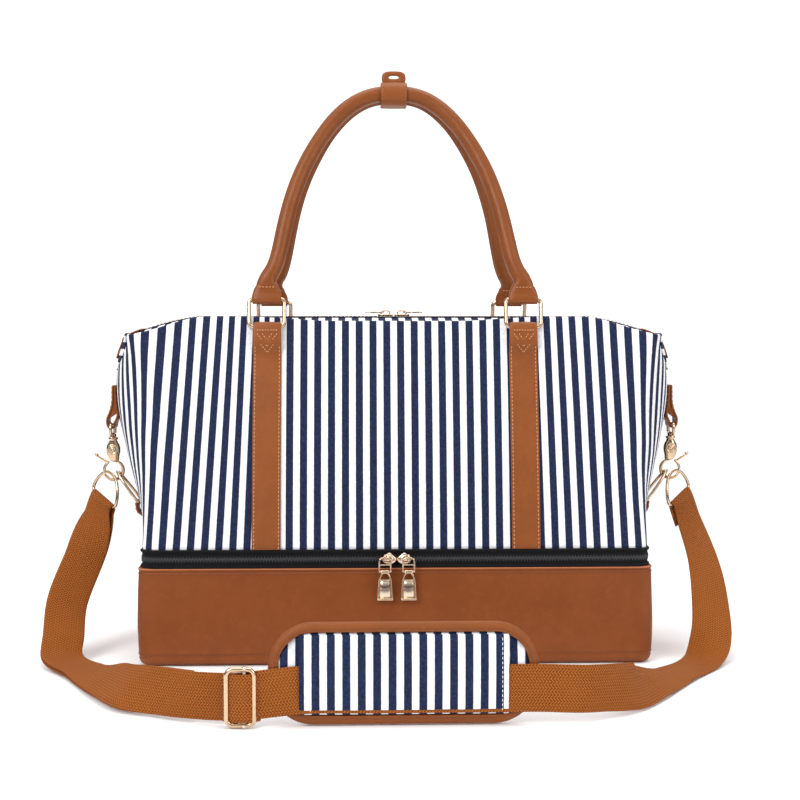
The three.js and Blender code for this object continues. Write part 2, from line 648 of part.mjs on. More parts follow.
function snapBody() {
  const outline = [[4.6, HOOK.boreZ], [6.6, 15], [4.4, 10.5], [-6.4, 10.5], [-6.6, 15], [-4.6, HOOK.boreZ]];
  const shape = new THREE.Shape(outline.map(([x, z]) => new THREE.Vector2(x, z)));
  const body = new THREE.ExtrudeGeometry(shape, { depth: 7, bevelEnabled: false });
  body.rotateX(Math.PI / 2).translate(0, 3.5, 0);
  const hook = steps(18).map((t) => {
    const angle = THREE.MathUtils.degToRad(lerp(98, 340, t));
    return vec(HOOK.jawRadius * Math.cos(angle), 0, HOOK.jawRadius * Math.sin(angle));
  });
  const bore = new THREE.CylinderGeometry(HOOK.bore, HOOK.bore, 12, 12).rotateX(Math.PI / 2);
  bore.translate(0, 0, HOOK.boreZ);
  const rivet = new THREE.CylinderGeometry(2.4, 2.4, 8.6, 12).translate(0, 0, HOOK.rivetZ);
  const whole = join(body, wire(hook, HOOK.jawWire, false, 8), rivet);
  return place(cut(whole, bore), HOOK.jawX, 0, HOOK.jawZ);
}

function snapGate() {
  const arc = steps(6).map((t) => {
    const angle = THREE.MathUtils.degToRad(lerp(46, -12, t));
    return vec(HOOK.jawRadius * Math.cos(angle), 0, HOOK.jawRadius * Math.sin(angle));
  });
  const lever = [vec(6.8, 0, 7.1), vec(9.4, 0, 9.4), vec(12.4, 0, 12.2), vec(15.6, 0, 14.4)];
  const geometry = join(wire(arc, 1.5, false, 8), wire(lever, 1.3, false, 6));
  return place(geometry, HOOK.jawX, 0, HOOK.jawZ);
}

function swivelEye() {
  const loop = roundedLoop(HOOK.eyeHalfWidth, HOOK.eyeHeight, 2.6, 2);
  const ring = wire(loop.map(([u, t]) => vec(HOOK.eyeX, u, HOOK.eyeZ - t)), HOOK.eyeWire, true, 8);
  const post = new THREE.CylinderGeometry(2, 2, 7, 10).rotateX(Math.PI / 2);
  post.translate(HOOK.jawX, 0, HOOK.eyeZ - HOOK.eyeHeight - 2.6);
  return join(ring, post);
}

function sideTab(settings) {
  const place3d = (out, z, across) => vec(out, across, z);
  return loopStrip({ thickness: TAB.thickness, place3d, ...settings });
}

// The end tab hangs straight down from the widest part of the gusset.
function endTab() {
  const surface = () => HOOK.eyeX - loopOffset(TAB.thickness, HOOK.eyeWire);
  return sideTab({
    width: TAB.endWidth, wireRadius: HOOK.eyeWire, low: TAB.endTopZ, pivot: HOOK.eyeZ, tail: 9, up: -1,
    surface,
  });
}

function lowerTab() {
  return sideTab({
    width: TAB.lowerWidth, wireRadius: DEE_WIRE, low: TAB.lowerLowZ, pivot: TAB.lowerPivotZ, tail: 7,
    surface: sideXAt,
  });
}

function buildSide(side, label) {
  const strapDee = deeRing(STRAP_DEE_BAR, STRAP_DEE_ALONG, strapDeeUp.clone().normalize(),
    STRAP_DEE.halfWidth, strapDeeUp.length());
  const bagDee = deeRing(BAG_DEE_BAR, vec(0, 1, 0), bagDeeUp.clone().normalize(),
    BAG_DEE.halfWidth, bagDeeUp.length());
  const pieces = {
    end_tab: [endTab(), STRAP_LEATHER],
    lower_tab: [lowerTab(), STRAP_LEATHER],
    swivel_eye: [swivelEye(), GOLD],
    snap_body: [snapBody(), GOLD],
    snap_gate: [snapGate(), GOLD],
    bag_d_ring: [bagDee, GOLD],
    strap_d_ring: [strapDee, GOLD],
  };
  for (const [name, [geometry, look]] of Object.entries(pieces)) {
    addPart(`${name}_${label}`, mirrored(geometry, side), look);
  }
}

// ---- Shoulder strap ----
// Stations: the middle of the webbing, and the direction from its lower to its upper edge.
const LEFT_RUN = [
  [vec(-314, -26, 99.5), vec(0.86, -0.05, -0.5)],
  [vec(-327, -58, 55), vec(0.78, 0, -0.62)],
  [vec(-326.5, -82, 26), vec(0.95, 0, -0.31)],
  [vec(-324.5, -100, 10), vec(0.97, 0.2, -0.15)],
  [vec(-293, -146, 7), vec(0.9, 0.44, 0.06)],
  [vec(-259, -219, 16.5), vec(0.7, 0.41, 0.58)],
  [vec(-236.5, -261, 20.5), vec(0.37, 0.43, 0.82)],
  [vec(-210, -282, 22), vec(0.05, 0.15, 0.99)],
  [vec(-175, -301, 22.5), vec(0, 0, 1)],
  [vec(-134, -315, 24.5), vec(0, 0, 1)],
  [vec(-112, PAD.y, 28), vec(0, 0, 1)],
  [vec(-80, PAD.y, PAD.webbingZ), vec(0, 0, 1)],
  [vec(-30, PAD.y, PAD.webbingZ), vec(0, 0, 1)],
];
const RIGHT_RUN = [
  [vec(30, PAD.y, PAD.webbingZ), vec(0, 0, 1)],
  [vec(80, PAD.y, PAD.webbingZ), vec(0, 0, 1)],
  [vec(114, PAD.y, PAD.webbingZ), vec(0, 0, 1)],
  [vec(146, PAD.y, 30), vec(0, 0, 1)],
  [vec(172, -305, 27), vec(0, 0, 1)],
  [vec(198, -281, 22), vec(-0.1, 0.2, 0.97)],
  [vec(222, -232, 14), vec(-0.66, 0.5, 0.56)],
  [vec(258, -170, 4.4), vec(-0.85, 0.5, 0.1)],
  [vec(300, -114, 5.6), vec(-0.97, 0.15, -0.15)],
  [vec(311.5, -95, 25), vec(-1, 0, 0.05)],
  [vec(316.5, -70, 52), vec(-0.97, -0.2, 0.1)],
  [vec(317.5, -40, 86.6), vec(-0.8, -0.57, -0.1)],
];

function deeFold(side, frontLeg, backLeg, reverse) {
  const bar = vec(STRAP_DEE_BAR.x * side, STRAP_DEE_BAR.y, STRAP_DEE_BAR.z);
  const across = vec(-STRAP_DEE_ALONG.x * side, -STRAP_DEE_ALONG.y, -STRAP_DEE_ALONG.z);
  const up = vec(strapDeeUp.x * side, strapDeeUp.y, strapDeeUp.z);
  up.addScaledVector(across, -up.dot(across)).normalize();
  const out = up.clone().cross(across).normalize().multiplyScalar(side);
  if (out.y > 0) out.negate();
  const radius = DEE_WIRE + GAP + WEBBING.thickness / 2;
  const at = (outward, upward) => bar.clone().addScaledVector(out, outward).addScaledVector(up, upward);
  const turns = steps(6).map((t) => at(radius * Math.cos(Math.PI * t), radius * Math.sin(Math.PI * t)));
  const path = [at(radius, -frontLeg), ...turns, at(-radius, -backLeg)];
  const fold = path.map((centre) => [centre, across.clone()]);
  return reverse ? fold.reverse() : fold;
}

// A second layer runs behind the left half, from the adjuster up to the D-ring, where the layers part.
function innerLayer(run) {
  return run.slice(0, 9).reverse().map(([centre, across], i, all) => {
    const gap = lerp(LAYER_GAP.ring, LAYER_GAP.run, Math.min((all.length - 1 - i) / 2, 1));
    const next = all[Math.max(i - 1, 0)][0].clone().sub(all[Math.min(i + 1, all.length - 1)][0]).normalize();
    const normal = next.clone().cross(across).normalize();
    return [centre.clone().addScaledVector(normal, -(WEBBING.thickness + gap)), across];
  });
}

function ribbon(stations, perSpan) {
  const centres = new THREE.CatmullRomCurve3(stations.map(([c]) => c), false, "centripetal");
  const spans = stations.length - 1;
  const edges = stations.map(([, across], k) => {
    const along = centres.getTangent(k / spans);
    return across.clone().addScaledVector(along, -across.dot(along)).normalize();
  });
  const sections = steps(spans * perSpan).map((t) => {
    const at = t * spans;
    const k = Math.min(Math.floor(at), spans - 1);
    const centre = centres.getPoint(t);
    const along = centres.getTangent(t);
    const across = edges[k].clone().lerp(edges[k + 1], at - k).normalize();
    const normal = along.clone().cross(across).normalize();
    const corner = (u, n) => centre.clone().addScaledVector(across, u * WEBBING.width / 2)
      .addScaledVector(normal, n * WEBBING.thickness / 2);
    return [corner(-1, 1), corner(1, 1), corner(1, -1), corner(-1, -1)];
  });
  return loft(sections);
}

function buildStrap() {
  const stations = [
    ...innerLayer(LEFT_RUN),
    ...deeFold(-1, 14, 14, true),
    ...LEFT_RUN,
    ...RIGHT_RUN,
    ...deeFold(1, 20, 24, false),
  ];
  addPart("shoulder_webbing", ribbon(stations, 6), CANVAS_WEB);
}

function buildAdjuster() {
  const { x, y, halfWidth, height, wire: radius } = ADJUSTER;
  const low = radius + 0.3;
  const loop = roundedLoop(halfWidth, height, 5, 3).map(([u, t]) => vec(x + u, y, low + t));
  const bar = wire([vec(x + 3, y, low + 0.2), vec(x + 3, y, low + height - 0.2)], radius, false, 8);
  addPart("strap_adjuster", join(wire(loop, radius, true, 8), bar), GOLD);
}

function padOutline(halfWidth, low, high, corner) {
  const centres = [[halfWidth - corner, low + corner, -90], [halfWidth - corner, high - corner, 0],
    [corner - halfWidth, high - corner, 90], [corner - halfWidth, low + corner, 180]];
  return centres.flatMap(([x, z, start]) => steps(4).map((t) => {
    const angle = THREE.MathUtils.degToRad(start + 90 * t);
    return [x + corner * Math.cos(angle), z + corner * Math.sin(angle)];
  }));
}

function buildPad() {
  const back = PAD.y + WEBBING.thickness / 2 + 0.6;
  const outline = padOutline(PAD.halfWidth, PAD.low, PAD.height, PAD.corner);
  const section = (y, inset) => outline.map(([x, z]) => vec(
    x * (1 - inset / PAD.halfWidth), y, lerp(z, PAD.height / 2, inset / (PAD.height / 2))));
  const body = loft([section(back, PAD.edge), section(back + 2.5, 0), section(back + PAD.bodyDepth - 2, 0),
    section(back + PAD.bodyDepth, PAD.edge)]);
  addPart("strap_pad", body, STRIPE);
  const sleeveY = PAD.y - WEBBING.thickness / 2 - 0.6 - PAD.sleeveThickness / 2;
  addPart("pad_sleeve",
    block(PAD.sleeveWidth, PAD.sleeveThickness, PAD.sleeveHeight, 0, sleeveY, PAD.height / 2), STRIPE);
}

buildShoeCompartment();
buildLowerZip();
buildMainCompartment();
for (const [label, facing] of [["front", -1], ["back", 1]]) {
  for (const [hand, side] of [["left", -1], ["right", 1]]) {
    addPart(`handle_strap_${label}_${hand}`, handleStrap(facing, side), STRAP_LEATHER);
    addPart(`handle_ring_${label}_${hand}`, handleRing(facing, side), GOLD);
  }
  buildHandle(`handle_${label}`, facing);
}
buildHandleWrap();
for (const [hand, side] of [["left", -1], ["right", 1]]) {
  buildTopSlider(`top_zip_${hand}`, side);
  buildLowerPull(`lower_zip_${hand}`, side);
  buildSide(side, hand);
}
buildStrap();
buildAdjuster();
buildPad();

export default bag;
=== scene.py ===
"""Looks of the weekender bag: striped canvas on a leather shoe compartment, built round the CAD frame.

Shapes are worked out in millimetres in the frame's axes (front faces -Y, +Z up) and stored in metres.
Every vertex carries a "cloth" vector: millimetres across and along its material.
"""
import itertools
import json
import math

import bmesh
import bpy
import numpy as np
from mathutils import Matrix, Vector, noise


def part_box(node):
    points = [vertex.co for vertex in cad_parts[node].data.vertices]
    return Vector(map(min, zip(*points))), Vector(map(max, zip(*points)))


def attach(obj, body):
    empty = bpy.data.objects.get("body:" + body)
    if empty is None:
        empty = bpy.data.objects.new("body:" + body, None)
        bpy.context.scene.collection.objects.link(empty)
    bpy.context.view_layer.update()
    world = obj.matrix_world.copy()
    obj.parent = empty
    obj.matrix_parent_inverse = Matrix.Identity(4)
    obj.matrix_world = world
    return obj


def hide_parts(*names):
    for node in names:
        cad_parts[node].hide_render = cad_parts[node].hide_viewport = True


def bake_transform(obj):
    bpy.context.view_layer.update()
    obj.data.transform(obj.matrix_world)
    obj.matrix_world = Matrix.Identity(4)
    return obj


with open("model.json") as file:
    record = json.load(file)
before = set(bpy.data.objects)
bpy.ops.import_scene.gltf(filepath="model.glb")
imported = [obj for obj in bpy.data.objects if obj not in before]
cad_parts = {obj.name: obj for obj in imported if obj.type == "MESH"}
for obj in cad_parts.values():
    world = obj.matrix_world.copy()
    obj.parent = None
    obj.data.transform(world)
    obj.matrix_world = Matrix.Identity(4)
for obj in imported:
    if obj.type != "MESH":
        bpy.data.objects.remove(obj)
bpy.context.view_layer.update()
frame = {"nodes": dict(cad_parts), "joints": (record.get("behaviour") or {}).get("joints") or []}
METRE = 0.001
LEFT_RIGHT = (("left", -1), ("right", 1))
FRONT_BACK = (("front", -1), ("back", 1))
UPPER, LOWER = "main_compartment", "shoe_compartment"
X, Y, Z = np.eye(3)
TURN = 2 * math.pi


def box(node):
    """Lowest and highest corner of a CAD node in millimetres."""
    low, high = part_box(node)
    return np.array(low) / METRE, np.array(high) / METRE


def joint(name):
    """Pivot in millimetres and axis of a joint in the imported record."""
    found = next(j for j in frame["joints"] if j["name"] == name)
    return np.array(found["pos_m"]) / METRE, np.array(found["axis"], float)


# ---- Sizes, in millimetres ----
UPPER_LOW = box("upper_front_panel")[0][2]
DEPTH_LOW = -box("upper_front_panel")[0][1]
DEPTH_TOP = -box("top_panel_front")[0][1] + 0.5
BASE_HALF_WIDTH, BASE_HALF_DEPTH = box("base_bottom")[1][:2]
BASE_TOP = box("base_front_panel")[1][2]
BASE_CORNER = 12
SIDE_MIDDLE = [(0, 246), (0.22, 262), (0.45, 276), (0.72, 285), (0.9, 281), (1, 273)]
FRONT_CORNER = [(0, 247), (0.3, 248), (0.5, 252), (0.75, 260), (1, 269)]
CANVAS_CORNER = 17
CANVAS_THICKNESS = 1.6
RIM_HEIGHT, RIM_SWELL, RIM_FALL = 221, 4.4, 17.4
ZIP_TOP = box("top_zip_front_tape")[1][2] - 1.4
ZIP_END_X = 268
TOOTH_PITCH = 1.5
STRIPE = {"period": 13.6, "navy": 0.525, "white_at": -1.8, "pad_period": 12.6}
STRAP_X = 126
STRAP_WIDTH = 28
STRAP_THICKNESS = 2
RING_WIRE = 2
RING_HALF_WIDTH = 17.4
HANDLE_RADIUS = 8
WEBBING_THICKNESS = 1.8
SLIT = 0.35  # clearance between sewn pieces
HOOK_CENTRE = np.array([290.3, 0, 180.0])
BAG_DEE = {"half": 12, "rise": (23.479, 0, 31.988)}
STRAP_DEE = {"half": 24.6, "rise": (-9.3, -4.1, 28.2), "along": (0.6, 0.726, 0.337)}
DEE_WIRE = 1.6


# ---- Small maths ----
def smoothstep(low, high, value):
    t = np.clip((np.asarray(value, float) - low) / (high - low), 0, 1)
    return t * t * (3 - 2 * t)


def lerp(a, b, t):
    return a + (b - a) * t


def unit(vectors):
    vectors = np.asarray(vectors, float)
    return vectors / np.maximum(np.linalg.norm(vectors, axis=-1, keepdims=True), 1e-9)


def through(table, t):
    """A smooth curve through (t, value) pairs."""
    knots, values = np.array(table, float).T
    slopes = np.gradient(values, knots)
    k = np.clip(np.searchsorted(knots, t) - 1, 0, len(knots) - 2)
    span = knots[k + 1] - knots[k]
    s = (t - knots[k]) / span
    rise = values[k] * (2 * s**3 - 3 * s**2 + 1) + values[k + 1] * (3 * s**2 - 2 * s**3)
    return rise + span * (slopes[k] * (s**3 - 2 * s**2 + s) + slopes[k + 1] * (s**3 - s**2))


def xyz(x, y, z):
    """Points from three coordinates, any of which may be one number."""
    return np.stack(np.broadcast_arrays(x, y, z), -1).astype(float)


def laid(flat, origin, right, up):
    """Flat points put in space, their coordinates running along right and up."""
    flat = np.asarray(flat, float)
    return np.asarray(origin, float) + flat[:, :1] * right + flat[:, 1:] * up


def directions(path, closed=False):
    """Unit tangent at each point of a path."""
    if closed:
        return unit(np.roll(path, -1, 0) - np.roll(path, 1, 0))
    return unit(np.gradient(path, axis=0))


def oval(angle, power):
    """Cosine and sine of a superellipse of the given powers."""
    c, s = np.cos(angle), np.sin(angle)
    return np.sign(c) * np.abs(c) ** power[0], np.sign(s) * np.abs(s) ** power[1]


def lengths(path):
    """Distance travelled at each point of a path."""
    return np.concatenate([[0], np.cumsum(np.linalg.norm(np.diff(path, axis=0), axis=1))])


def resample(path, count, *others):
    """A path, and arrays that go with it, at evenly spaced points."""
    path = np.asarray(path, float)
    done = lengths(path)
    at = np.linspace(0, done[-1], count)
    pick = lambda a: np.stack([np.interp(at, done, column) for column in np.asarray(a, float).T], 1)
    return pick(path) if not others else (pick(path), *[pick(a) for a in others])


def rounded(points, rounds, closed=False):
    """Catmull-Rom curve through points, with `rounds` steps per span."""
    points = np.asarray(points, float)
    if closed:
        padded = np.concatenate([points[-1:], points, points[:2]])
    else:
        padded = np.concatenate([2 * points[:1] - points[1:2], points, 2 * points[-1:] - points[-2:-1]])
    made = []
    for k in range(len(padded) - 3):
        p0, p1, p2, p3 = padded[k:k + 4]
        for t in np.arange(rounds) / rounds:
            made.append(0.5 * (2 * p1 + (p2 - p0) * t + (2 * p0 - 5 * p1 + 4 * p2 - p3) * t * t
                               + (3 * p1 - p0 - 3 * p2 + p3) * t**3))
    if not closed:
        made.append(points[-1])
    return np.array(made)


def ripple(points, scale, seed=0.0):
    """Smooth noise between -1 and 1 at each point; `scale` is the size of a ripple in millimetres."""
    flat = np.asarray(points, float).reshape(-1, 3) / scale
    made = np.array([noise.noise(Vector((p[0] + seed, p[1] - seed, p[2] + 2 * seed))) for p in flat])
    return made.reshape(np.asarray(points).shape[:-1])


# ---- Mesh building ----
def grid_faces(rows, columns, closed_rows=False, closed_columns=False):
    faces = []
    for i in range(rows if closed_rows else rows - 1):
        for j in range(columns if closed_columns else columns - 1):
            a, b = i * columns, ((i + 1) % rows) * columns
            k = (j + 1) % columns
            faces.append((a + j, a + k, b + k, b + j))
    return faces


def path_frames(path, closed=False, normal=None):
    """Tangent and two side directions at each point; they turn with the path without twisting."""
    tangent = directions(path, closed)
    if normal is not None:
        side = unit(np.cross(tangent, np.broadcast_to(normal, tangent.shape)))
        return tangent, side, np.cross(side, tangent)
    side = [unit(np.cross(tangent[0], (0.31, 0.52, 0.79)))]
    for t in tangent[1:]:
        side.append(unit(side[-1] - t * (side[-1] @ t)))
    side = np.array(side)
    return tangent, side, np.cross(side, tangent)


def strap_profile(width, thickness, columns, crown):
    """Closed outline of a flat strap with rounded edges: distance across and distance outwards."""
    half, edge = width / 2, thickness / 2
    across = np.linspace(-half + edge, half - edge, columns)
    raised = crown * (1 - (across / half) ** 2)
    bend = [(edge * math.sin(a), edge * math.cos(a)) for a in (math.pi / 4, math.pi / 2, 3 * math.pi / 4)]
    top = [(x, edge + c) for x, c in zip(across, raised)]
    right = [(half - edge + dx, dy) for dx, dy in bend]
    bottom = [(x, -edge) for x in across[::-1]]
    left = [(-(half - edge + dx), -dy) for dx, dy in bend]
    return np.array(top + right + bottom + left)


def loop_outline(half_width, height, corner, turns=5):
    """Points round a rounded rectangle that stands on its lower edge."""
    points = []
    centres = ((half_width - corner, corner, -90), (half_width - corner, height - corner, 0),
               (corner - half_width, height - corner, 90), (corner - half_width, corner, 180))
    for x, y, start in centres:
        for a in np.radians(start + np.linspace(0, 90, turns)):
            points.append((x + corner * math.cos(a), y + corner * math.sin(a)))
    return np.array(points)


class Shape:
    """Collects vertices, faces and cloth coordinates that become one piece."""

    def __init__(self):
        self.points, self.faces, self.cloth = [], [], []

    def add(self, points, faces, cloth=None):
        start = len(self.points)
        points = np.asarray(points, float).reshape(-1, 3)
        cloth = points if cloth is None else np.asarray(cloth, float).reshape(-1, 3)
        self.points.extend(points)
        self.cloth.extend(cloth)
        self.faces.extend([tuple(start + i for i in face) for face in faces])
        return self

    def rings(self, rings, cloth=None):
        """A solid made of closed rings with the same number of points, capped at both ends."""
        rows, size = np.shape(rings)[:2]
        faces = grid_faces(rows, size, False, True)
        faces += [tuple(range(size)), tuple(rows * size - 1 - i for i in range(size))]
        return self.add(rings, faces, cloth)

    def sheet(self, grid, thickness, cloth, outward):
        """A closed sheet of even thickness behind a grid of points; `outward` is its outer side."""
        rows, columns = grid.shape[:2]
        normal = unit(np.cross(np.gradient(grid, axis=1), np.gradient(grid, axis=0)))
        normal *= -1 if (normal * outward).sum() < 0 else 1
        inner = grid - normal * thickness
        count = rows * columns
        faces = grid_faces(rows, columns)
        faces += [tuple(count + i for i in reversed(face)) for face in grid_faces(rows, columns)]
        border = [*range(columns)] + [i * columns + columns - 1 for i in range(1, rows)]
        border += [count - 1 - j for j in range(1, columns)] + [i * columns for i in range(rows - 2, 0, -1)]
        for a, b in zip(border, border[1:] + border[:1]):
            faces.append((b, a, count + a, count + b))
        return self.add(np.concatenate([grid, inner]), faces, np.concatenate([cloth, cloth]))

    def tube(self, path, radius, sides=14, closed=False, normal=None):
        """A round bar along a path; open ends are domed."""
        path = np.asarray(path, float)
        radius = np.broadcast_to(radius, len(path)).astype(float)
        tangent, side, other = path_frames(path, closed, normal)
        if not closed:
            ahead, narrow = np.array([0.8, 0.44]), np.array([0.35, 0.86])
            head = path[0] - tangent[0] * radius[0] * ahead[:, None]
            tail = path[-1] + tangent[-1] * radius[-1] * ahead[::-1, None]
            path = np.concatenate([head, path, tail])
            radius = np.concatenate([radius[0] * narrow, radius, radius[-1] * narrow[::-1]])
            side, other = (np.concatenate([v[:1], v[:1], v, v[-1:], v[-1:]]) for v in (side, other))
        angle = np.arange(sides) * TURN / sides
        c, s = np.cos(angle)[None, :, None], np.sin(angle)[None, :, None]
        rings = path[:, None] + radius[:, None, None] * (c * side[:, None] + s * other[:, None])
        cloth = xyz(angle * radius.mean(), lengths(path)[:, None], 0)
        if closed:
            return self.add(rings, grid_faces(len(path), sides, True, True), cloth)
        return self.rings(rings, cloth)

    def strap(self, centres, across, outward, width, thickness, columns=9, crown=0.0):
        """A flat strap along a path. `width` may vary along it."""
        count = len(centres)
        across = np.broadcast_to(across, (count, 3))
        outward = np.broadcast_to(outward, (count, 3))
        widths = np.broadcast_to(width, count)
        profiles = np.array([strap_profile(w, thickness, columns, crown) for w in widths])
        aside, out = profiles[:, :, :1], profiles[:, :, 1:]
        points = centres[:, None] + aside * across[:, None] + out * outward[:, None]
        return self.rings(points, xyz(aside[:, :, 0], lengths(centres)[:, None], out[:, :, 0]))

    def stitches(self, path, outward, length=2.7, gap=1.5, radius=0.38):
        """A row of short thread capsules along a path, half sunk into the surface."""
        path = np.asarray(path, float)
        number = max(1, int(lengths(path)[-1] / (length + gap)))
        centres, lifts = resample(path, 2 * number + 1, np.broadcast_to(outward, path.shape))
        angle = np.arange(6) * TURN / 6
        for k in range(1, 2 * number, 2):
            along = unit(centres[k + 1] - centres[k - 1])
            up = unit(lifts[k] - along * (lifts[k] @ along))
            circle = np.cos(angle)[:, None] * np.cross(along, up) + np.sin(angle)[:, None] * up
            middle = centres[k] + up * (radius * 0.9 - 0.1)
            self.rings([middle + along * x * length + radius * r * circle for x, r in CAPSULE])
        return self

    def plate(self, outline, origin, right, up, depth, bevel=0.25):
        """A flat plate with softened edges: an outline along right and up, raised by depth."""
        outline = np.asarray(outline, float)
        following, out = np.roll(outline, -1, 0), np.cross(up, right)
        area = np.sum(outline[:, 0] * following[:, 1] - outline[:, 1] * following[:, 0])
        behind = unit(outline - np.roll(outline, 1, 0))
        turn = unit(unit(following - outline) + behind) * (1 if area > 0 else -1)
        inward = np.stack([-turn[:, 1], turn[:, 0]], 1)
        levels = [(0, bevel), (bevel, 0), (depth - bevel, 0), (depth, bevel)]
        return self.rings([laid(outline + inward * inset, origin, right, up) + out * height
                           for height, inset in levels])

    def window(self, outer, inner, origin, right, up, depth, bevel):
        """A flat plate with a hole: outer and inner outlines with the same number of points."""
        out, middle = np.cross(up, right), (outer + inner) / 2
        soft = lambda ring: ring + (middle - ring) * 0.2
        loops = [(outer, bevel), (outer, depth - bevel), (soft(outer), depth), (soft(inner), depth),
                 (inner, depth - bevel), (inner, bevel), (soft(inner), 0), (soft(outer), 0)]
        points = [laid(flat, origin, right, up) + out * height for flat, height in loops]
        return self.add(points, grid_faces(len(loops), len(outer), True, True))

    def lathe(self, profile, origin, axis, sides=24):
        """A turned part: profile of (distance along axis, radius) pairs."""
        axis = unit(axis)
        side = unit(np.cross(axis, (0.3, 0.9, 0.2)))
        angle = np.arange(sides) * TURN / sides
        circle = np.cos(angle)[:, None] * side + np.sin(angle)[:, None] * np.cross(axis, side)
        return self.rings([origin + axis * x + max(r, 0.01) * circle for x, r in profile])

    def piece(self, name, material, body, *replaces):
        """The finished object, riding on its body in place of CAD nodes; no body where none is given."""
        mesh = bpy.data.meshes.new(name)
        mesh.from_pydata([tuple(p * METRE) for p in self.points], [], self.faces)
        set_cloth(mesh, self.cloth)
        work = bmesh.new()
        work.from_mesh(mesh)
        bmesh.ops.recalc_face_normals(work, faces=work.faces)
        work.to_mesh(mesh)
        work.free()
        mesh.shade_smooth()
        mesh.materials.append(material)
        made = link(name, mesh)
        dress(made, body, replaces)
        return made


CAPSULE = [(-0.5, 0.45), (-0.3, 1.0), (0.3, 1.0), (0.5, 0.45)]


def set_cloth(mesh, vectors):
    """Writes the "cloth" vectors that the woven materials read."""
    layer = mesh.attributes.get("cloth") or mesh.attributes.new("cloth", "FLOAT_VECTOR", "POINT")
    layer.data.foreach_set("vector", np.asarray(vectors, np.float32).ravel())


def link(name, data):
    made = bpy.data.objects.new(name, data)
    bpy.context.scene.collection.objects.link(made)
    return made


def dress(made, body, replaces):
    """Ties a piece to its body, if it rides on one, and hides the CAD nodes that it stands for."""
    if body:
        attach(made, body)
    if replaces:
        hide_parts(*replaces)


# ---- Materials ----
class Nodes:
    """A short way to write a node graph for one material."""

    def __init__(self, name):
        self.material = bpy.data.materials.new(name)
        self.material.use_nodes = True
        self.tree = self.material.node_tree
        self.tree.nodes.clear()

    def add(self, kind, inputs=None, **settings):
        node = self.tree.nodes.new("ShaderNode" + kind)
        for key, value in settings.items():
            setattr(node, key, value)
        for key, value in (inputs or {}).items():
            if isinstance(value, bpy.types.NodeSocket):
                self.tree.links.new(value, node.inputs[key])
            else:
                node.inputs[key].default_value = value
        return node

    def math(self, operation, *values):
        return self.add("Math", dict(enumerate(values)), operation=operation).outputs[0]

    def mix(self, factor, a, b):
        a, b = ((*c, 1) if isinstance(c, tuple) else c for c in (a, b))
        return self.add("Mix", {0: factor, 6: a, 7: b}, data_type="RGBA").outputs[2]

    def step(self, value, low, high):
        inputs = {"Value": value, "From Min": low, "From Max": high}
        return self.add("MapRange", inputs, interpolation_type="SMOOTHSTEP").outputs[0]

    def where(self):
        return self.add("TexCoord").outputs["Object"]

    def cloth(self):
        named = self.add("Attribute", attribute_name="cloth").outputs["Vector"]
        return self.add("SeparateXYZ", {0: named}).outputs

    def noise(self, millimetres, detail=3.0, roughness=0.55):
        scale = 1 / (millimetres * METRE)
        inputs = {"Vector": self.where(), "Scale": scale, "Detail": detail, "Roughness": roughness}
        return self.add("TexNoise", inputs).outputs["Fac"]

    def cells(self, millimetres):
        inputs = {"Vector": self.where(), "Scale": 1 / (millimetres * METRE)}
        return self.add("TexVoronoi", inputs, feature="DISTANCE_TO_EDGE").outputs[0]

    def edges(self, low=0.5, high=0.58):
        return self.step(self.add("NewGeometry").outputs["Pointiness"], low, high)

    def bump(self, height, strength, millimetres, normal=None):
        inputs = {"Height": height, "Strength": strength, "Distance": millimetres * METRE}
        if normal is not None:
            inputs["Normal"] = normal
        return self.add("Bump", inputs).outputs[0]

    def finish(self, **inputs):
        settings = {key.replace("_", " "): value for key, value in inputs.items()}
        for key in ("Base Color", "Sheen Tint", "Specular Tint"):
            if key in settings and isinstance(settings[key], tuple):
                settings[key] = (*settings[key], 1)
        shader = self.add("BsdfPrincipled", settings)
        self.add("OutputMaterial", {"Surface": shader.outputs[0]})
        return self.material


def srgb(red, green, blue):
    """Linear colour from an 8-bit sRGB one."""
    shares = (red / 255, green / 255, blue / 255)
    return tuple(((c + 0.055) / 1.055) ** 2.4 if c > 0.04 else c / 12.92 for c in shares)


def toned(colour, factor, lift=0.0):
    return tuple(min(1, c * factor + lift) for c in colour)


def leather(name, colour, grain=1.5, roughness=0.45):
    """Pebbled leather, darker in its pits and lighter along worn edges."""
    n = Nodes(name)
    dark, light = toned(colour, 0.86), toned(colour, 1.16, 0.004)
    cloud = n.mix(n.step(n.noise(38, 4), 0.3, 0.72), dark, colour)
    spotted = n.mix(n.math("MULTIPLY", n.step(n.noise(6, 5), 0.45, 0.75), 0.4), cloud, light)
    edged = n.mix(n.math("MULTIPLY", n.edges(), 0.3), spotted, light)
    pits = n.step(n.cells(grain), 0.0, 0.16)
    fine = n.noise(0.5, 2)
    shade = n.mix(pits, n.mix(0.35, edged, dark), edged)
    height = n.math("ADD", n.math("MULTIPLY", pits, 0.7), n.math("MULTIPLY", fine, 0.5))
    soft = n.bump(n.noise(9, 3), 0.25, 0.5)
    rough = n.math("ADD", n.math("MULTIPLY", n.noise(14, 4), 0.22), roughness - 0.11)
    return n.finish(Base_Color=shade, Roughness=rough, Normal=n.bump(height, 0.3, 0.16, soft),
                    Coat_Weight=0.05, Coat_Roughness=0.3, Specular_IOR_Level=0.22)


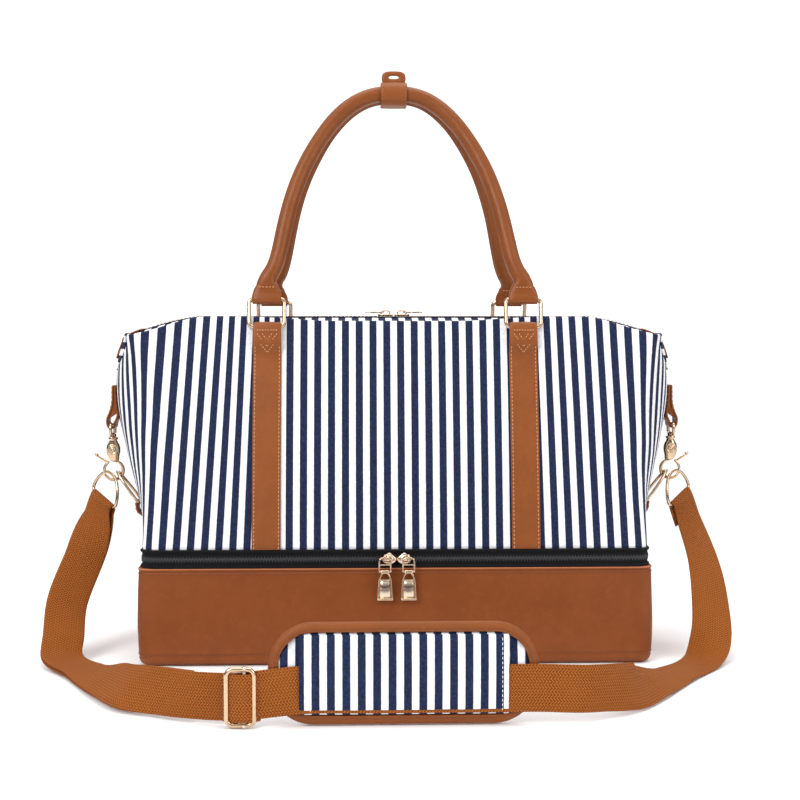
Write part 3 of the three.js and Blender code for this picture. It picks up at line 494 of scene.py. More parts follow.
def striped_canvas(name, period, offset):
    """Yarn-dyed stripes along the cloth, with a plain weave."""
    n = Nodes(name)
    u, v, _ = n.cloth()
    yarn = TURN / 0.75
    wobble = n.math("MULTIPLY", n.math("SUBTRACT", n.noise(5, 3), 0.5), 0.35)
    turn = n.math("FRACT", n.math("ADD", n.math("DIVIDE", n.math("ADD", u, wobble), period), offset))
    half = (1 - STRIPE["navy"]) / 2
    white = n.math("ABSOLUTE", n.math("SUBTRACT", turn, 0.5))
    navy_share = n.step(white, half - 0.018, half + 0.018)
    warp = n.math("SINE", n.math("MULTIPLY", u, yarn))
    weft = n.math("SINE", n.math("MULTIPLY", v, yarn))
    weave = n.math("MULTIPLY", warp, weft)
    slub = n.noise(1.1, 2)
    navy = n.mix(n.step(n.noise(2.2, 4), 0.3, 0.75), srgb(21, 28, 52), srgb(36, 47, 82))
    white_cloth = n.mix(n.step(n.noise(3.0, 4), 0.35, 0.7), srgb(236, 236, 240), srgb(254, 253, 254))
    colour = n.mix(navy_share, white_cloth, navy)
    threads = n.mix(n.math("MULTIPLY", n.step(weave, -1, 1), 0.07), colour, srgb(112, 118, 146))
    height = n.math("ADD", n.math("MULTIPLY", weave, 0.5), slub)
    creased = n.bump(n.noise(16, 3), 0.3, 1.2)
    return n.finish(Base_Color=threads, Roughness=0.86, Normal=n.bump(height, 0.35, 0.18, creased),
                    Sheen_Weight=0.02, Sheen_Roughness=0.5, Specular_IOR_Level=0.08)


def woven_tape(name, colour, pitch, strength, chevron, light=1.5, shade=0.58):
    """Ribbed or herringbone weave along a tape."""
    n = Nodes(name)
    u, v, _ = n.cloth()
    zigzag = n.math("PINGPONG", u, chevron)
    lean = n.math("ADD", v, n.math("MULTIPLY", zigzag, 1.0))
    rib = n.math("SINE", n.math("MULTIPLY", lean, TURN / pitch))
    cord = n.math("SINE", n.math("MULTIPLY", u, TURN / (pitch * 0.9)))
    weave = n.math("ADD", n.math("MULTIPLY", rib, 0.7), n.math("MULTIPLY", cord, 0.3))
    ribbed = n.mix(n.step(weave, -0.8, 0.9), toned(colour, shade), toned(colour, light))
    cloud = n.mix(n.math("MULTIPLY", n.step(n.noise(18, 4), 0.35, 0.7), 0.35), ribbed, colour)
    fuzz = n.noise(0.6, 2)
    height = n.math("ADD", weave, n.math("MULTIPLY", fuzz, 0.8))
    return n.finish(Base_Color=cloud, Roughness=0.84, Normal=n.bump(height, strength, 0.3),
                    Sheen_Weight=0.03, Sheen_Roughness=0.4, Specular_IOR_Level=0.12)


def polished_metal(name, colour, roughness):
    """Plated metal with fine scuffs and bright edges."""
    n = Nodes(name)
    scuff = n.step(n.noise(2.5, 6, 0.7), 0.42, 0.8)
    tone = n.mix(scuff, colour, toned(colour, 0.86))
    worn = n.mix(n.math("MULTIPLY", n.edges(0.52, 0.62), 0.5), tone, srgb(250, 240, 226))
    rough = n.math("ADD", n.math("MULTIPLY", scuff, 0.14), roughness)
    return n.finish(Base_Color=worn, Metallic=1.0, Roughness=rough, Normal=n.bump(n.noise(1.2, 5), 0.05, 0.1))


def twisted_thread(name, colour):
    n = Nodes(name)
    tone = n.mix(n.noise(0.5, 3), toned(colour, 0.75), toned(colour, 1.2))
    return n.finish(Base_Color=tone, Roughness=0.7, Normal=n.bump(n.noise(0.3, 1), 0.5, 0.15))


def pressed_board(name):
    n = Nodes(name)
    tone = n.mix(n.noise(2, 6, 0.7), srgb(84, 76, 66), srgb(120, 110, 96))
    return n.finish(Base_Color=tone, Roughness=0.9, Normal=n.bump(n.noise(0.9, 4), 0.4, 0.3))


WHITE_PHASE = 0.5 - STRIPE["white_at"] / STRIPE["period"]
BASE_LEATHER = leather("base_leather", srgb(133, 68, 25), roughness=0.5)
STRAP_LEATHER = leather("strap_leather", srgb(141, 77, 33), grain=1.1, roughness=0.44)
HANDLE_LEATHER = leather("handle_leather", srgb(134, 72, 30), grain=1.2, roughness=0.3)
# Lighter leather for the welt round the base's rim: its light colour is a painted highlight along the rim's
# top edge.
RIM_HIGHLIGHT_LEATHER = leather("rim_highlight_leather", srgb(190, 118, 78), roughness=0.4)
BINDING_LEATHER = leather("binding_leather", srgb(134, 72, 28), grain=0.9, roughness=0.5)
CANVAS = striped_canvas("striped_canvas", STRIPE["period"], WHITE_PHASE)
PAD_CANVAS = striped_canvas("striped_pad_canvas", STRIPE["pad_period"], 0.93)
TAPE = woven_tape("zip_tape", srgb(24, 24, 26), 0.9, 0.5, 1.1)
WEBBING = woven_tape("webbing", srgb(150, 84, 33), 2.7, 1.0, 2.7, light=1.5, shade=0.42)
LINING = woven_tape("lining", srgb(140, 143, 148), 0.8, 0.3, 2.0, light=1.15)
GOLD = polished_metal("gold_metal", srgb(212, 182, 150), 0.14)
NYLON = woven_tape("zip_teeth", srgb(74, 75, 78), 0.7, 0.2, 1.0)
PALE_THREAD = twisted_thread("pale_thread", srgb(214, 158, 110))
BROWN_THREAD = twisted_thread("brown_thread", srgb(176, 104, 58))
SEAM_THREAD = twisted_thread("seam_thread", srgb(118, 60, 28))
WHITE_THREAD = twisted_thread("white_thread", srgb(236, 234, 232))
BOARD = pressed_board("pressed_board")



# ---- Outline of the canvas bag ----
def top_at(x):
    """Height of the canvas rim: it dips a little in the middle and falls at both ends."""
    x = np.abs(x)
    return UPPER_LOW + RIM_HEIGHT + RIM_SWELL * smoothstep(60, 150, x) - RIM_FALL * smoothstep(185, 268, x)


def zip_height(x):
    return ZIP_TOP - 19 * np.clip((np.abs(x) - 196) / 76, 0, None) ** 1.5


def quarter_section(share):
    """Outline from the front centre to the side centre at a share of the height."""
    depth = lerp(DEPTH_LOW, DEPTH_TOP, share)
    corner, middle = through(FRONT_CORNER, share), through(SIDE_MIDDLE, share)
    reach = depth - CANVAS_CORNER
    slope = 2 * (middle - corner) / reach
    control = np.array([corner - slope * CANVAS_CORNER, -depth])
    start, end = control - (CANVAS_CORNER, 0), np.array([corner, -reach])
    front = np.stack([np.linspace(0, start[0], 46, endpoint=False), np.full(46, -depth)], 1)
    t = np.linspace(0, 1, 9, endpoint=False)[:, None]
    bend = (1 - t) ** 2 * start + 2 * t * (1 - t) * control + t * t * end
    y = np.linspace(-reach, 0, 17)
    side = np.stack([corner + (middle - corner) * (1 - (y / reach) ** 2), y], 1)
    return np.concatenate([front, bend, side])


def belly(x, share):
    """How far the loaded front stands proud of its flat shape."""
    return 3.6 * np.sin(math.pi * np.clip(share, 0, 1)) * np.clip(1 - (np.abs(x) / 262) ** 4, 0, 1)


def front_depth(x, z):
    share = (z - UPPER_LOW) / (top_at(x) - UPPER_LOW)
    return lerp(DEPTH_LOW, DEPTH_TOP, share) + belly(x, share)


def side_reach(y, z):
    """Distance of the side surface from the middle of the bag."""
    share = np.clip((z - UPPER_LOW) / (top_at(272) - UPPER_LOW), 0, 1)
    reach = lerp(DEPTH_LOW, DEPTH_TOP, share) - CANVAS_CORNER
    corner, middle = through(FRONT_CORNER, share), through(SIDE_MIDDLE, share)
    return corner + (middle - corner) * (1 - (y / reach) ** 2)


def side_at(z):
    """Distance of the side's middle line from the middle of the bag."""
    return float(side_reach(np.array(0.0), np.array(float(z))))


def lean(x, share):
    """The stripes lean inwards beside the straps, as the panel is drawn in at the rim."""
    x = np.abs(x)
    along = 0.62 * smoothstep(112, 140, x) + 0.38 * smoothstep(140, 180, x) - 0.6 * smoothstep(205, 262, x)
    return 13 * share * along


def canvas_half(facing):
    """Grid of the front or back canvas from the left side seam to the right one, and its cloth."""
    shares = np.concatenate([np.linspace(0, 0.9, 42), np.linspace(0.915, 1, 8)])
    rim_z = top_at(quarter_section(1)[:, 0])
    rows, cloth = [], []
    for share in shares:
        flat = quarter_section(share)
        z = UPPER_LOW + (rim_z - UPPER_LOW) * share
        u, drawn = lengths(flat), lean(flat[:, 0], share)
        right = xyz(flat[:, 0], flat[:, 1] * -facing, z)
        rows.append(np.concatenate([right[:0:-1] * (-1, 1, 1), right]))
        across = np.concatenate([-(u + drawn)[:0:-1], u + 0.5 * drawn])
        cloth.append(xyz(across, np.concatenate([z[:0:-1], z]), 0))
    grid, cloth = np.array(rows), np.array(cloth)
    normal = unit(np.cross(np.gradient(grid, axis=1), np.gradient(grid, axis=0)))
    normal *= -1 if (normal[:, :, 1] * facing).sum() < 0 else 1
    share = shares[:, None]
    x = grid[:, :, 0]
    held = 1 - np.exp(-((np.abs(x) - STRAP_X) / 20) ** 4)
    free = np.sin(math.pi * share) ** 0.7 * held
    midway = smoothstep(0.1, 0.5, share) * (1 - smoothstep(0.85, 1, share))
    corner_pull = smoothstep(170, 255, np.abs(x)) * midway
    folds = 1.5 * ripple(grid * (1, 0.6, 0.5), 62, 3.0 * facing) + 0.6 * ripple(grid * (1, 1, 0.6), 24, 7.0)
    drag = 1.6 * ripple(grid * (1, 1, 0.35) + grid[:, :, 2:] * (0.35, 0, 0), 34, 11.0) * corner_pull
    grid = grid + normal * (belly(x, share) + folds * free + drag)[:, :, None]
    over = [(1.1, 0.8), (2.6, 1.1), (4.2, 0.7)]
    lip = [grid[-1] - normal[-1] * (1, 1, 0) * back + up * Z for back, up in over]
    lip_cloth = [cloth[-1] + back * Y for back, _ in over]
    return np.concatenate([grid, lip]), np.concatenate([cloth, lip_cloth])


# ---- Main compartment ----
def build_canvas():
    for name, facing in FRONT_BACK:
        nodes = [f"upper_{name}_panel"] + (["gusset_left", "gusset_right"] if facing < 0 else [])
        grid, cloth = canvas_half(facing)
        shape = Shape().sheet(grid, CANVAS_THICKNESS, cloth, facing * Y)
        shape.piece(f"bag_canvas_{name}", CANVAS, UPPER, *nodes)


def build_bag_lining():
    """A cloth bag that hangs just inside the canvas and is open at the top."""
    rows = []
    for share in np.linspace(0.03, 0.95, 16):
        flat = quarter_section(share)
        front = xyz(*flat.T, UPPER_LOW + (top_at(flat[:, 0]) - UPPER_LOW) * share)
        half = np.concatenate([front, front[-2::-1] * (1, -1, 1)])
        rows.append(np.concatenate([half, half[-2:0:-1] * (-1, 1, 1)]))
    rings = np.array(rows)
    ahead = unit(np.roll(rings, -1, 1) - np.roll(rings, 1, 1))
    inward = unit(xyz(-ahead[:, :, 1], ahead[:, :, 0], 0))
    inward *= np.sign(-np.sum(inward * rings * (1, 1, 0), -1, keepdims=True))
    ease = (0.8 * ripple(rings, 40, 3.0))[:, :, None]
    outer, inner = rings + inward * (7.5 + ease), rings + inward * (8.7 + ease)
    grid = np.concatenate([outer, inner[::-1]])
    size = rings.shape[1]
    cloth = xyz(np.linspace(0, 1600, size), grid[:, :, 2], 0)
    shape = Shape().add(grid, grid_faces(len(grid), size, True, True), cloth)
    shape.piece("bag_lining", LINING, UPPER, "main_lining")


def build_side_seams():
    z = np.linspace(UPPER_LOW + 1, 284, 40)
    for hand, side in LEFT_RIGHT:
        path = xyz(side * (side_reach(0 * z, z) + 0.4), 0, z)
        Shape().tube(path, 1.0, 8).piece(f"side_seam_{hand}", CANVAS, UPPER)


def build_top_panels():
    rim = quarter_section(1)
    rim = rim[rim[:, 1] < -15.5]
    x, y = np.concatenate([rim[:0:-1] * (-1, 1), rim]).T
    inner_x = np.clip(x, -266, 266)
    for name, facing in FRONT_BACK:
        rows = []
        for s in np.linspace(0, 1, 9):
            sag = -2.4 * math.sin(math.pi * s) * (1 + 0.5 * ripple(xyz(x, y, 0), 70, 2.0))
            height = lerp(top_at(x) + 0.6, zip_height(inner_x) - 0.2, s) + sag
            rows.append(xyz(lerp(x, inner_x, s), lerp(-y - 1.6, 14.6, s) * facing, height))
        grid = np.array(rows)
        shape = Shape().sheet(grid, CANVAS_THICKNESS, xyz(grid[:, :, 0] + 4, grid[:, :, 1], 0), Z)
        shape.piece(f"top_canvas_{name}", CANVAS, UPPER, f"top_panel_{name}")


def build_side_tongues():
    """The zip gusset runs over the top and ends as a tapered tongue down each side."""
    high, low = 322, 284
    for hand, side in LEFT_RIGHT:
        rows, cloth = [], []
        for t in np.linspace(0, 1, 18):
            z = lerp(high, low, t)
            half = 13 + 47 * (1 - t) ** 0.75
            y = np.linspace(-half, half, 25)
            x = side_reach(y, np.full(25, min(z, 319.0))) + 1.3 - (1.5 if t == 0 else 0)
            rows.append(xyz(side * x, y, z))
            cloth.append(xyz(6 + high - z, y, 0))
        shape = Shape().sheet(np.array(rows), 1.2, np.array(cloth), side * X)
        shape.piece(f"side_tongue_{hand}", CANVAS, UPPER)
        for name, edge, inset in (("front", 0, 2.2), ("back", -1, -2.2)):
            path = [row[edge] + inset * Y for row in rows[1:]]
            Shape().stitches(path, side * X).piece(f"tongue_stitches_{hand}_{name}", WHITE_THREAD, UPPER)


# ---- Zips ----
def zip_teeth(path, across, outward, offset, length=3.4, radius=0.62):
    """Every second tooth of a zip, as short bars that lie across the path."""
    shape = Shape()
    sides = [np.broadcast_to(v, path.shape) for v in (across, outward)]
    rows = resample(path, int(lengths(path)[-1] / TOOTH_PITCH), *sides)
    for centre, up, out in list(zip(*rows))[offset::2]:
        middle = centre + up * (0.55 if offset else -0.55)
        bar = np.linspace(middle - up * length / 2, middle + up * length / 2, 3)
        shape.tube(bar + out * 0.5, [radius * 0.8, radius, radius * 0.8], 6)
    return shape


def build_top_zip():
    x = np.linspace(-ZIP_END_X, ZIP_END_X, 90)
    for offset, (name, facing) in enumerate(FRONT_BACK):
        centres = xyz(x, 8 * facing, zip_height(x) + 0.2)
        up = np.cross(directions(centres), Y)
        up *= np.sign(up[:, 2:])
        shape = Shape().strap(centres, Y, up, 14.6, 0.9, 7)
        shape.piece(f"top_zip_tape_{name}", TAPE, UPPER, f"top_zip_{name}_tape")
        middle = xyz(x, 0, zip_height(x) + 0.5)
        zip_teeth(middle, Y, up, offset).piece(f"top_zip_teeth_{name}", NYLON, UPPER)
        sewn = Shape().stitches(centres + (0, 5.9 * facing, 1.0), up, radius=0.3)
        sewn.piece(f"top_zip_stitches_{name}", BROWN_THREAD, UPPER)
    for hand, side in LEFT_RIGHT:
        path = [(side * 258, 0, zip_height(258) + 2.0), (side * 266, 0, zip_height(266) + 1.9)]
        path += [(side * (side_at(z) + 2.4), 0, z) for z in (318, 312, 304, 296)]
        path = rounded(path, 5)
        out = np.cross(directions(path), Y)
        out *= np.sign(out[:, 2:] + 0.001)
        Shape().strap(path, Y, out, 22, 1.6).piece(f"zip_end_patch_{hand}", STRAP_LEATHER, UPPER)


def ring_outline(half_width, half_depth, corner, long_side=64, short_side=26, turns=9):
    """Closed outline of a rounded rectangle and its outward directions, from the left of the front."""
    points, normals = [], []
    inner_x, inner_y = half_width - corner, half_depth - corner
    corners = ((inner_x, -inner_y, -90, long_side), (inner_x, inner_y, 0, short_side),
               (-inner_x, inner_y, 90, long_side), (-inner_x, -inner_y, 180, short_side))
    direction = lambda degrees: np.array([math.cos(math.radians(degrees)), math.sin(math.radians(degrees))])
    last = np.array([-inner_x, -half_depth])
    for x, y, start, steps in corners:
        centre, out = np.array([x, y]), direction(start)
        for t in np.arange(steps) / steps:
            points.append(lerp(last, centre + corner * out, t))
            normals.append(out)
        for t in np.linspace(0, 90, turns)[:-1]:
            normals.append(direction(start + t))
            points.append(centre + corner * normals[-1])
        last = centre + corner * direction(start + 90)
    return np.array(points), np.array(normals)


def open_run(outline, facing, keep):
    """The points of an outline that `keep` accepts, sorted along the side that it faces."""
    points, normals = outline
    order = np.argsort(np.arctan2(points[:, 0], facing * points[:, 1]))
    order = [k for k in order if keep(points[k, 1])]
    return points[order], normals[order]


def build_lower_zip():
    low, high = box("lower_zip_base_tape")[0][2], box("lower_zip_upper_tape")[1][2]
    middle = (low + high) / 2
    run, out = open_run(ring_outline(246.5, 108.6, 14), -1, lambda y: y < 84)
    outward = xyz(*out.T, 0)
    halves = (("base", LOWER, low - 1.5, middle - 0.5, low + 0.4),
              ("upper", UPPER, middle + 0.5, high + 1.6, high))
    for offset, (name, body, bottom, top, edge) in enumerate(halves):
        shape = Shape().strap(xyz(*run.T, (bottom + top) / 2), Z, outward, top - bottom, 1.2, 7)
        shape.piece(f"lower_zip_cloth_{name}", TAPE, body, f"lower_zip_{name}_tape")
        row = zip_teeth(xyz(*run.T, middle) + outward * 0.35, Z, outward, offset, 3.8, 0.6)
        row.piece(f"lower_zip_teeth_{name}", NYLON, body)
        welt = Shape().tube(xyz(*run.T, edge) + outward * 0.9, 1.5, 8)
        welt.piece(f"lower_zip_welt_{name}", TAPE, body)
    hem, _ = ring_outline(245.6, 107.6, 13)
    Shape().tube(xyz(*hem.T, high + 0.2), 1.6, 10, True).piece("canvas_lower_binding", TAPE, UPPER)
    flat, _ = open_run(ring_outline(247, 109, 14), 1, lambda y: y > 82)
    grid = np.array([xyz(*flat.T, z) for z in np.linspace(low - 1.5, high + 1.6, 12)])
    shape = Shape().sheet(grid, 1.2, xyz(grid[:, :, 0], grid[:, :, 2], 0), Y)
    hinge = shape.piece("rear_hinge_cloth", TAPE, None, "rear_hinge_tape")
    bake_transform(hinge)


# ---- Shoe compartment ----
def tray(half_width, half_depth, corner, profile, swell=None):
    """A round-cornered tray: profile of (inset, height) pairs from the underside, up and over the rim."""
    points, normals = ring_outline(half_width, half_depth, corner)
    rows, cloth = [], []
    for (inset, z), along in zip(profile, lengths(np.array(profile, float))):
        ring = xyz(*(points - normals * inset).T, z)
        if swell is not None:
            ring[:, :2] += normals * swell(ring)[:, None]
        rows.append(ring)
        cloth.append(xyz(lengths(points), along, 0))
    return Shape().rings(rows, cloth)


def base_swell(ring):
    """The leather swells a little between its seams and its corners."""
    raised = np.sin(math.pi * np.clip(ring[:, 2] / BASE_TOP, 0, 1))
    return raised * (1.5 + 0.9 * ripple(ring, 75, 5.0) + 0.35 * ripple(ring, 26, 9.0))


def lining_swell(ring):
    return 0.5 * ripple(ring, 30, 4.0) * np.sin(math.pi * np.clip(ring[:, 2] / 92, 0, 1)) - 0.6


def build_base():
    top = BASE_TOP - 0.3
    size = (BASE_HALF_WIDTH, BASE_HALF_DEPTH, BASE_CORNER)
    foot = [(8, 0), (5.2, 0.5), (2.6, 1.9), (0.9, 4.2), (0.2, 6.8), (0.15, 8.2), (0.6, 8.9), (0.15, 9.6)]
    wall = [(0, z) for z in np.linspace(12.5, top - 6, 16)]
    rim = [(0.1, top - 4.6), (1.0, top - 3.9), (0.0, top - 3.1), (-0.5, top - 2.0), (-0.3, top - 0.9),
           (0.6, top - 0.2), (1.8, top), (3.0, top - 0.3), (3.8, top - 1.4)]
    inside = [(4, z) for z in np.linspace(top - 4, 3.4, 6)]
    panels = [f"base_{name}" for name in ("front_panel", "back_panel", "side_left", "side_right", "bottom")]
    shape = tray(*size, foot + wall + rim + inside, base_swell)
    shape.piece("base_leather_shell", BASE_LEATHER, LOWER, *panels)
    points, normals = ring_outline(*size)
    for name, z in (("upper", top - 5.8), ("lower", 11.4)):
        ring = xyz(*points.T, z)
        ring[:, :2] += normals * (base_swell(ring)[:, None] + 0.02)
        sewn = Shape().stitches(ring, xyz(*normals.T, 0), length=3.0, gap=1.3, radius=0.33)
        sewn.piece(f"base_stitches_{name}", SEAM_THREAD, LOWER)
    # A thin welt round the top of the rim in the lighter leather; the welt is real, its light colour is a
    # painted highlight along the rim's top edge.
    edge = xyz(*(points - normals * 0.1).T, top - 1.3)
    Shape().tube(edge, 0.75, 8, True).piece("base_rim_highlight", RIM_HIGHLIGHT_LEATHER, LOWER)
    thin = [(6.5, 6.1), (5, 6.6), (4.6, 8), (4.6, 88), (4.7, 91), (5.2, 91.6), (5.9, 91), (6, 88), (6, 8.4)]
    tray(*size, thin, lining_swell).piece("shoe_lining_cloth", LINING, LOWER, "shoe_lining")


def build_divider():
    floor_z = box("divider_floor")[0][2]
    slab = [(3, 0.1), (1.2, 0.3), (0.2, 1.1), (0, 2), (0.2, 3), (1.2, 3.8), (3, 4)]
    board = tray(240.5, 103, 16, [(inset, floor_z + z) for inset, z in slab])
    board.piece("divider_board_cloth", LINING, UPPER, "divider_floor")
    hem, _ = ring_outline(228, 91, 12)
    sewn = Shape().stitches(xyz(*hem.T, floor_z + 0.1), -Z, radius=0.4)
    sewn.piece("divider_stitches", WHITE_THREAD, UPPER)


# ---- Handle straps, rings and handles ----
RING_LOW, RING_HIGH = box("handle_ring_front_left")
RING_PIVOT = {"y": -RING_LOW[1] - RING_WIRE, "z": RING_LOW[2] + RING_WIRE}
RING_TOP = {"y": -RING_HIGH[1] + RING_WIRE, "z": RING_HIGH[2] - RING_WIRE}
HANDLE_TOP = box("handle_front")[1][2] - HANDLE_RADIUS
HANDLE_ARCH = [(117, 396), (104, 453), (87, 497), (62, 536), (33, 560)]
# Height above the ring, half width, half depth and squareness of the handle's foot.
FOOT = [(-5.2, 13.6, 1.3, 4), (-4.2, 14.2, 3.2, 4), (-2, 14.6, 4.5, 4), (1, 14.7, 4.7, 4), (4, 14.5, 4.2, 4),
        (8, 13.2, 4.7, 3.2), (13, 10.8, 6.0, 2.6), (18, 9.0, 7.2, 2.2), (25, 8.1, 7.9, 2), (34, 8, 8, 2)]
# Sewn lines on a handle strap below its ring: across and height.
STRAP_KNOTS = ([(-10.5, 325), (10.5, 325)], [(-10, 322), (0, 309), (10, 322)],
               [(-10, 316), (0, 303), (10, 316)], [(-5, 322), (0, 315), (5, 322)])


def off_surface(surface, offset, z):
    """A point at a distance from a surface that is given as reach outwards at each height."""
    slope = (surface(z + 1) - surface(z - 1)) / 2
    size = math.hypot(1, slope)
    return surface(z) + offset / size, z - offset * slope / size


def loop_path(low, pivot, wire, thickness, tail, surface):
    """A strap lies on a surface, leaves it near a wire, turns round the wire and ends behind itself."""
    back = SLIT + thickness / 2
    bend = wire + back
    centre = 2 * SLIT + thickness + wire
    rise = min(16, abs(pivot - low) * 0.4)
    climb = pivot - rise
    path = [(back, lerp(low, climb - rise - 2, t)) for t in np.linspace(0, 1, 26)]
    path += [(lerp(back, centre + bend, t * t * (3 - 2 * t)), lerp(climb - rise * 0.7, climb + 2, t))
             for t in np.linspace(0, 1, 7)]
    path += [(centre + bend * math.cos(t), pivot + bend * math.sin(t)) for t in np.linspace(0, math.pi, 13)]
    path.append((back, pivot - tail))
    return np.array([off_surface(surface, offset, z) for offset, z in path])


def build_handle_straps():
    for (name, facing), (hand, side) in itertools.product(FRONT_BACK, LEFT_RIGHT):
        x = STRAP_X * side
        path = loop_path(UPPER_LOW + 1, RING_PIVOT["z"] - 0.9, RING_WIRE, STRAP_THICKNESS, 9,
                         lambda z: float(front_depth(x, z)))
        tangent = directions(path)
        out = np.stack([tangent[:, 1], -tangent[:, 0]], 1)
        outward = xyz(0, out[:, 0] * facing, out[:, 1])
        width = np.full(len(path), float(STRAP_WIDTH))
        width[-16:] = np.linspace(STRAP_WIDTH, STRAP_WIDTH - 2.5, 16)
        centres = xyz(x, path[:, 0] * facing, path[:, 1])
        shape = Shape().strap(centres, X, outward, width, STRAP_THICKNESS + 0.3, 11, 0.35)
        shape.piece(f"strap_leather_{name}_{hand}", STRAP_LEATHER, UPPER, f"handle_strap_{name}_{hand}")
        sewn = Shape()
        lying = path[:31] + out[:31] * (STRAP_THICKNESS / 2 + 0.15)
        for across in (-STRAP_WIDTH / 2 + 2.1, STRAP_WIDTH / 2 - 2.1):
            line = xyz(x + across, lying[:, 0] * facing, lying[:, 1])
            sewn.stitches(line, outward[:31], length=2.3, gap=1.5, radius=0.42)
        for knot in STRAP_KNOTS:
            knot = np.array(knot, float)
            line = np.concatenate([np.linspace(a, b, 6) for a, b in zip(knot, knot[1:])])
            reach = np.interp(line[:, 1], lying[:, 1], lying[:, 0])
            points = xyz(x + line[:, 0], (reach + 0.15) * facing, line[:, 1])
            sewn.stitches(points, facing * Y, length=1.7, gap=0.9, radius=0.42)
        sewn.piece(f"strap_stitches_{name}_{hand}", PALE_THREAD, UPPER)


def build_rings():
    lean_y, rise = RING_TOP["y"] - RING_PIVOT["y"], RING_TOP["z"] - RING_PIVOT["z"]
    length = math.hypot(lean_y, rise)
    outline = loop_outline(RING_HALF_WIDTH, length, 5.2, 6)
    for (name, facing), (hand, _) in itertools.product(FRONT_BACK, LEFT_RIGHT):
        up = np.array([0, lean_y * facing, rise]) / length
        x = box(f"handle_ring_{name}_{hand}")[0][0] + RING_HALF_WIDTH + RING_WIRE
        path = laid(outline, (x, RING_PIVOT["y"] * facing, RING_PIVOT["z"]), X, up)
        shape = Shape().tube(path, RING_WIRE + 0.15, 14, True, np.cross(X, up))
        shape.piece(f"handle_ring_gold_{name}_{hand}", GOLD, f"{name}_rings", f"handle_ring_{name}_{hand}")


def handle_path(facing):
    """Arch of one handle from its left foot to its right one."""
    foot = box("handle_ring_front_right")[0][0] + RING_HALF_WIDTH + RING_WIRE
    ring_z = RING_TOP["z"]
    half = [(foot, ring_z + rise) for rise in (-5.2, 3, 11)] + [(foot - 1, ring_z + 20), *HANDLE_ARCH]
    flat = half + [(0, HANDLE_TOP)] + [(-x, z) for x, z in half[::-1]]
    curve = rounded([(x, 0, z) for x, z in flat], 9)
    y = lerp(RING_TOP["y"], 9, (curve[:, 2] - ring_z) / (HANDLE_TOP - ring_z))
    return curve + xyz(0, np.minimum(y, RING_TOP["y"] + 0.5) * facing, 0)


def build_handles():
    angle = np.arange(28) * TURN / 28
    height_at, *columns = np.array(FOOT).T
    stitch_z = RING_TOP["z"] + 11.5
    for name, facing in FRONT_BACK:
        body = f"{name}_handle"
        path = handle_path(facing)
        tangent = directions(path)
        depth = unit(np.cross(tangent, np.cross(-Y, tangent)))
        across = np.cross(tangent, depth)
        height = path[:, 2] - RING_TOP["z"]
        wide, thick, power = (np.interp(height, height_at, column)[:, None] for column in columns)
        u, v = oval(angle, (2 / power, 2 / power))
        u, v = (u * wide)[:, :, None], (v * thick)[:, :, None]
        rings = path[:, None] + u * across[:, None] + v * depth[:, None]
        rings = rings + (0.25 * ripple(rings, 30, 8.0))[:, :, None] * unit(rings - path[:, None])
        shape = Shape().rings(rings, xyz(angle * HANDLE_RADIUS, lengths(path)[:, None], 0))
        shape.piece(f"rolled_handle_{name}", HANDLE_LEATHER, body, f"handle_{name}")
        bare = height > 26
        toward = unit((np.array([0, path[0][1], RING_TOP["z"]]) - path[bare]) * (1, 0, 1))
        toward = unit(toward - tangent[bare] * np.sum(toward * tangent[bare], 1, keepdims=True))
        down = unit(toward - 0.25 * facing * Y)
        seam = Shape().tube(path[bare] + down * (HANDLE_RADIUS - 0.35), 0.8, 8)
        seam.piece(f"handle_seam_{name}", HANDLE_LEATHER, body)
        sewn = Shape()
        x = np.linspace(-8, 8, 8)
        reach = float(np.interp(13, height_at, columns[1])) + 0.1
        level = np.interp(stitch_z, path[:60, 2], path[:60, 1])
        for foot, side in itertools.product((0, -1), (facing, -facing)):
            points = xyz(path[foot][0] + x, level + side * reach * np.sqrt(1 - (x / 14) ** 2), stitch_z)
            sewn.stitches(points, side * Y, length=2.0, gap=1.1, radius=0.42)
        sewn.piece(f"handle_stitches_{name}", PALE_THREAD, body)


def build_handle_wrap():
    reach, below = 9.0, 1.5
    middle = HANDLE_RADIUS + 1.9
    arc = lambda start, end, drop: [(-reach + middle * math.cos(a), middle * math.sin(a) - drop)
                                    for a in np.linspace(start, end, 9)]
    path = [(y, middle) for y in np.linspace(reach, -reach, 7)]
    path += arc(TURN / 4, TURN / 2, 0)[1:] + arc(TURN / 2, TURN * 0.75, below)
    path += [(y, -middle - below) for y in np.linspace(-reach, reach, 7)[1:]]
    path = np.array(path)
    tangent = directions(path)
    centres = xyz(0, path[:, 0], path[:, 1] + HANDLE_TOP)
    outward = xyz(0, tangent[:, 1], -tangent[:, 0])
    shape = Shape().strap(centres, X, outward, 27, 2.2, 11, 0.3)
    shape.piece("handle_wrap_leather", STRAP_LEATHER, "front_handle", "handle_wrap")
    sewn = Shape()
    for across in (-11.3, 11.3):
        sewn.stitches(centres + across * X + outward * 1.1, outward, length=2, gap=1.3, radius=0.34)
    sewn.piece("handle_wrap_stitches", BROWN_THREAD, "front_handle")
    angle = np.linspace(0, TURN, 40, endpoint=False)
    wide, high = oval(angle, (0.6, 0.75))
    outer = np.stack([12.3 * wide, 6 + 7.2 * high], 1)
    slot = np.stack([5.2 * wide, 7 + 1.7 * np.sin(angle)], 1)
    tab = Shape().window(outer, slot, np.array([0, -reach + 1.9, HANDLE_TOP + middle]), X, Z, 3.8, 0.7)
    tab.piece("handle_wrap_tab", STRAP_LEATHER, "front_handle")


